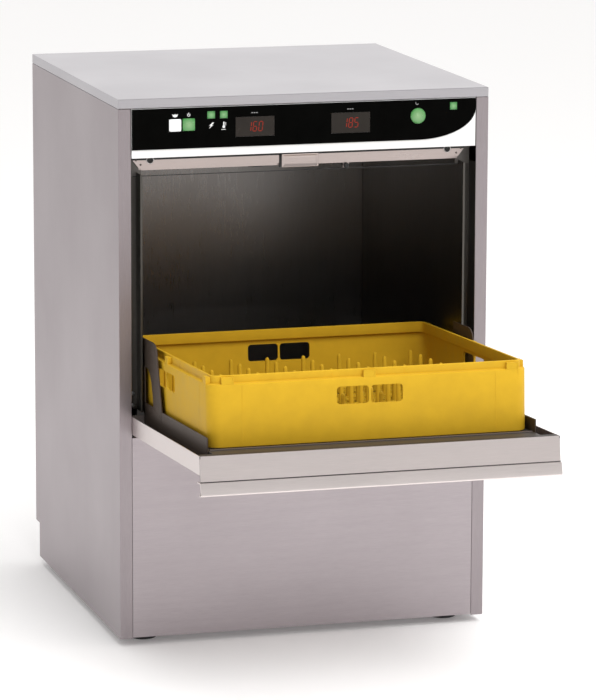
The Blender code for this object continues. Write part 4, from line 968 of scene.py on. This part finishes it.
def makeRackPegs():  # tapered pegs that hold plates upright between their rows
    mesh = bmesh.new()
    half = rack["size"] / 2 - 0.040
    for row in range(rack["pegRows"]):
        y = -half + 2 * half * row / (rack["pegRows"] - 1)
        for column in range(rack["pegColumns"]):
            x = -half + 2 * half * column / (rack["pegColumns"] - 1)
            rings = []
            for radius, level in ((0.0052, 0.0035), (0.0044, 0.0120), (0.0034, rack["pegHeight"] - 0.004),
                                  (0.0026, rack["pegHeight"] - 0.0012), (0.0012, rack["pegHeight"])):
                ring = []
                for step in range(10):
                    angle = 2 * math.pi * step / 10
                    ring.append(onRack(x + radius * math.cos(angle), y + radius * math.sin(angle), level))
                rings.append(ring)
            merge(mesh, loft(rings))
    return addPiece("rackPegs", mesh, rackYellow, "rack", 50)


makeRackPegs()
print("rack made")


# ---- spray arms

arms = {"lower_wash_arm": ("lower_wash", armSteel, "casing", 7),
        "upper_wash_arm": ("upper_wash", armSteel, "casing", 7),
        "lower_rinse_arm": ("lower_rinse", armSteel, "bright", 5),
        "upper_rinse_arm": ("upper_rinse", armSteel, "bright", 5)}


def armPart(body):
    return body.split("_")[0] + body.split("_")[1].capitalize()


def makeArm(node):
    body, finish, slotName, jets = arms[node]
    low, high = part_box(node)
    centre = (low + high) / 2
    halfLong, halfWide = (high.x - low.x) / 2, (high.y - low.y) / 2
    bore = 0.0118
    up = 1 if node.startswith("lower") else -1
    wash = "wash" in node
    tip = halfWide * (0.72 if wash else 0.46)
    stations = 18
    for sign, side in ((1, "Right"), (-1, "Left")):
        rings = []
        for step in range(stations + 1):
            t = step / stations
            x = bore + (halfLong - bore) * t
            wide = halfWide * 0.97 + (tip - halfWide * 0.97) * min(t * 1.6, 1)
            thin = (high.z - low.z) / 2
            if step >= stations - 3:  # the end rounds off
                roundOff = (step - stations + 3) / 3
                wide *= math.sqrt(max(1 - roundOff ** 2, 0.02))
                thin *= 1 - 0.35 * roundOff
            ring = []
            for corner in range(16):
                angle = 2 * math.pi * corner / 16
                y = wide * math.copysign(abs(math.cos(angle)) ** 0.6, math.cos(angle))
                z = thin * math.copysign(abs(math.sin(angle)) ** 0.6, math.sin(angle))
                ring.append((centre.x + sign * x, centre.y + y, centre.z + z))
            rings.append(ring)
        mesh = loft(rings)
        addPiece(armPart(body) + "Arm" + side, mesh, finish, body, 50, (node,) if sign > 0 else ())
    hubLow, hubHigh = low.z - centre.z, high.z - centre.z
    hub = [(bore, hubLow), (halfWide * 1.0, hubLow), (halfWide * 1.0, hubHigh), (bore, hubHigh)]
    addPiece(armPart(body) + "Hub", turned(hub, centre, 2, 40), greyMoulding, body, 40)
    # the jets are black slabs set into the arm, their black painted shade for the openings
    jetMesh = bmesh.new()
    for sign in (-1, 1):
        for index in range(jets):
            x = centre.x + sign * (0.045 + (halfLong - 0.065) * index / (jets - 1))
            height = high.z if up > 0 else low.z
            outline = roundedBox(0.0052 if wash else 0.0030, 0.0014, 0.0013, 4)
            turn = math.radians(20 * sign if wash else 0)
            spots = [(x + a * math.cos(turn) - b * math.sin(turn),
                      centre.y + a * math.sin(turn) + b * math.cos(turn)) for a, b in outline]
            span = sorted((height - up * 0.0012, height - up * 0.00005))
            merge(jetMesh, slab(spots, *span, lambda a, b, level: (a, b, level)))
    addPiece(armPart(body) + "Jets", jetMesh, rubberBlack, body)


for node in arms:
    makeArm(node)
print("spray arms made")


# ---- feet, fittings and spring


footShape = {"pad": ((0, 0.0), (0.0195, 0.0), (0.0208, 0.0006), (0.0215, 0.0020), (0.0212, 0.0035),
                     (0.0190, 0.0085), (0.0170, 0.0110), (0.0150, 0.0118), (0.0058, 0.0122), (0.0050, 0.0128),
                     (0, 0.0128)),
             "threads": 5, "pitch": 0.0015, "threadBottom": 0.0130, "root": 0.0046, "crest": 0.0053,
             "studTop": 0.0218,
             "nut": ((0.0156, 0.0098), (0.0160, 0.0104), (0.0198, 0.0104), (0.0204, 0.0098))}


def makeFoot(node, name):
    low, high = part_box(node)
    centre = (low + high) / 2
    place = (centre.x, centre.y, 0)
    pad = list(footShape["pad"])
    addPiece(name, turned(pad, place, 2, 40), footBlack, "cabinet", 35, (node,))
    bolt = [(0, 0.0122)]
    for index in range(footShape["threads"]):
        z = footShape["threadBottom"] + index * footShape["pitch"]
        bolt += [(footShape["root"], z), (footShape["crest"], z + footShape["pitch"] / 2)]
    bolt += [(footShape["root"], footShape["studTop"] - 0.0006), (0, footShape["studTop"])]
    addPiece(name + "Stud", turned(bolt, place, 2, 24), zincSteel, "cabinet", 25)
    nut = []
    for level, size in footShape["nut"]:
        nut.append([(centre.x + size * math.cos(math.radians(60 * corner)),
                     centre.y + size * math.sin(math.radians(60 * corner)), level) for corner in range(6)])
    addPiece(name + "Nut", loft(nut), zincSteel, "cabinet")


for index in range(1, 5):
    makeFoot("foot_" + str(index), "foot" + str(index))


def threaded(radius, low, high, pitch, depth):
    profile = []
    count = int((high - low) / pitch)
    for index in range(count):
        profile += [(radius - depth, low + pitch * index), (radius, low + pitch * (index + 0.5))]
    return profile + [(radius - depth, high)]


def makeInlet():
    low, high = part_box("inlet_valve")
    place = ((low.x + high.x) / 2, 0, 0.045)
    profile = [(0, low.y), (0.0150, low.y), (0.0160, low.y + 0.001), (0.0160, 0.4846), (0.0118, 0.4847)]
    profile += threaded(0.0132, 0.4870, high.y - 0.0006, 0.0018, 0.0009)
    profile += [(0.0112, high.y), (0.0095, high.y), (0.0095, high.y - 0.016), (0, high.y - 0.016)]
    addPiece("inletStub", turned(profile, place, 1, 40), brassMetal, "cabinet", 30, ("inlet_valve",))
    coil = [(0, 0.0), (0.0140, 0.0), (0.0140, 0.0430), (0.0125, 0.0445), (0, 0.0445)]
    addPiece("inletCoil", turned(coil, (place[0], low.y + 0.025, 0.045), 2, 32), motorPaint, "cabinet", 30)


makeInlet()


def makeGland():
    low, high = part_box("cable_gland")
    centre = (low + high) / 2
    body = [(0.0045, low.y), (0.0098, low.y), (0.0100, low.y + 0.001), (0.0100, high.y - 0.0185),
            (0.0130, high.y - 0.0180), (0.0136, high.y - 0.0170), (0.0136, high.y - 0.0100),
            (0.0128, high.y - 0.0085), (0.0104, high.y - 0.0010), (0.0096, high.y), (0.0050, high.y),
            (0.0045, high.y - 0.0006)]
    addPiece("cableGland", turned(body, (centre.x, 0, centre.z), 1, 40), greyMoulding, "cabinet", 30,
             ("cable_gland",))


makeGland()


spring = {"wire": 0.0011, "bottom": 0.120, "top": 0.352, "turns": 16, "perTurn": 16, "hookLow": 0.008,
          "hookHigh": 0.007, "keep": 0.84}


def makeSpring():
    low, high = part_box("door_spring")
    centre = (low + high) / 2
    radius = (high.x - low.x) / 2 - spring["wire"]
    coilLow, coilHigh, turns, perTurn = spring["bottom"], spring["top"], spring["turns"], spring["perTurn"]
    points = [(centre.x, centre.y, low.z), (centre.x, centre.y, coilLow - spring["hookLow"])]
    for step in range(turns * perTurn + 1):
        angle = 2 * math.pi * step / perTurn
        z = coilLow + (coilHigh - coilLow) * step / (turns * perTurn)
        points.append((centre.x + radius * math.cos(angle), centre.y + radius * math.sin(angle), z))
    points += [(centre.x, centre.y, coilHigh + spring["hookHigh"]), (centre.x, centre.y, high.z)]
    rings = []
    for i, point in enumerate(points):
        along = (Vector(points[min(i + 1, len(points) - 1)]) - Vector(points[max(i - 1, 0)])).normalized()
        sideways = along.cross(Vector((0.3, 0.2, 0.9))).normalized()
        upward = sideways.cross(along)
        rings.append([Vector(point) + (sideways * math.cos(a) + upward * math.sin(a)) * spring["wire"]
                      for a in [2 * math.pi * k / 8 for k in range(8)]])
    piece = addPiece("springWire", loft(rings), zincSteel, "cabinet", 60, ("door_spring",))
    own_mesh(piece)


makeSpring()
print("fittings made")


# ---- floor, light and camera

studio = {"floorSize": 60.0, "floorColour": (0.92, 0.915, 0.91), "floorGlow": 0.12,
          "skyDim": 0.35, "skyBright": 1.35, "skyToward": (0.75, 0.66, 0.0)}


def makeFloor():
    mesh = bmesh.new()
    bmesh.ops.create_grid(mesh, x_segments=1, y_segments=1, size=studio["floorSize"] / 2)
    data = bpy.data.meshes.new("studioFloor")
    mesh.to_mesh(data)
    mesh.free()
    floor = bpy.data.objects.new("studioFloor", data)
    bpy.context.scene.collection.objects.link(floor)
    data.materials.append(moulded("floorPale", studio["floorColour"], 0.75, 0.0, 0.5, 0.02, 0.006,
                                  ((1.0, 0.99, 0.98), studio["floorGlow"])))


makeFloor()
bpy.context.scene.view_settings.view_transform = "Standard"
world = bpy.data.worlds.new("studio")
bpy.context.scene.world = world
world.use_nodes = True
background = world.node_tree.nodes["Background"]
sky = world.node_tree  # the studio is brighter behind and to the right
direction = sky.nodes.new("ShaderNodeTexCoord").outputs["Generated"]
toward = sky.nodes.new("ShaderNodeVectorMath")
toward.operation = "DOT_PRODUCT"
sky.links.new(direction, toward.inputs[0])
toward.inputs[1].default_value = studio["skyToward"]
strength = spread(sky, toward.outputs["Value"], studio["skyDim"], studio["skyBright"], -1, 1)
sky.links.new(strength, background.inputs["Strength"])
background.inputs["Color"].default_value = (1.0, 0.99, 0.985, 1)

lamps = {"softboxFront": ((0.9, -4.2, 4.6), 3.6, 185), "softboxTop": ((0.4, -0.6, 3.6), 2.4, 45),
         "softboxLeft": ((-3.4, -1.8, 1.6), 2.0, 5)}
for label, (place, size, energy) in lamps.items():
    light = bpy.data.lights.new(label, "AREA")
    light.shape = "SQUARE"
    light.size = size
    light.energy = energy
    lamp = bpy.data.objects.new(label, light)
    lamp.location = place
    lamp.rotation_euler = (Vector((0, 0.1, 0.45)) - Vector(place)).to_track_quat("-Z", "Y").to_euler()
    bpy.context.scene.collection.objects.link(lamp)
    lamp.visible_glossy = False  # lights the surfaces, and never shows as a hot patch on the steel

viewpoint = {"place": (-1.82869, -6.33388, 1.71968), "yaw": 16.2282, "pitch": 10.9499, "roll": 0.19986,
             "lens": 216.84}


def makeCamera():
    yaw, pitch, roll = [math.radians(viewpoint[key]) for key in ("yaw", "pitch", "roll")]
    forward = Vector((math.sin(yaw) * math.cos(pitch), math.cos(yaw) * math.cos(pitch), -math.sin(pitch)))
    across = Vector((math.cos(yaw), -math.sin(yaw), 0))
    upright = across.cross(forward)
    right = across * math.cos(roll) + upright * math.sin(roll)
    top = upright * math.cos(roll) - across * math.sin(roll)
    data = bpy.data.cameras.new("view")
    data.lens = viewpoint["lens"]
    data.sensor_width = 36
    data.clip_end = 200
    camera = bpy.data.objects.new("view", data)
    bpy.context.scene.collection.objects.link(camera)
    turn = Matrix((right, top, -forward)).transposed().to_4x4()
    camera.matrix_world = Matrix.Translation(Vector(viewpoint["place"])) @ turn
    bpy.context.scene.camera = camera


makeCamera()
print("studio made")
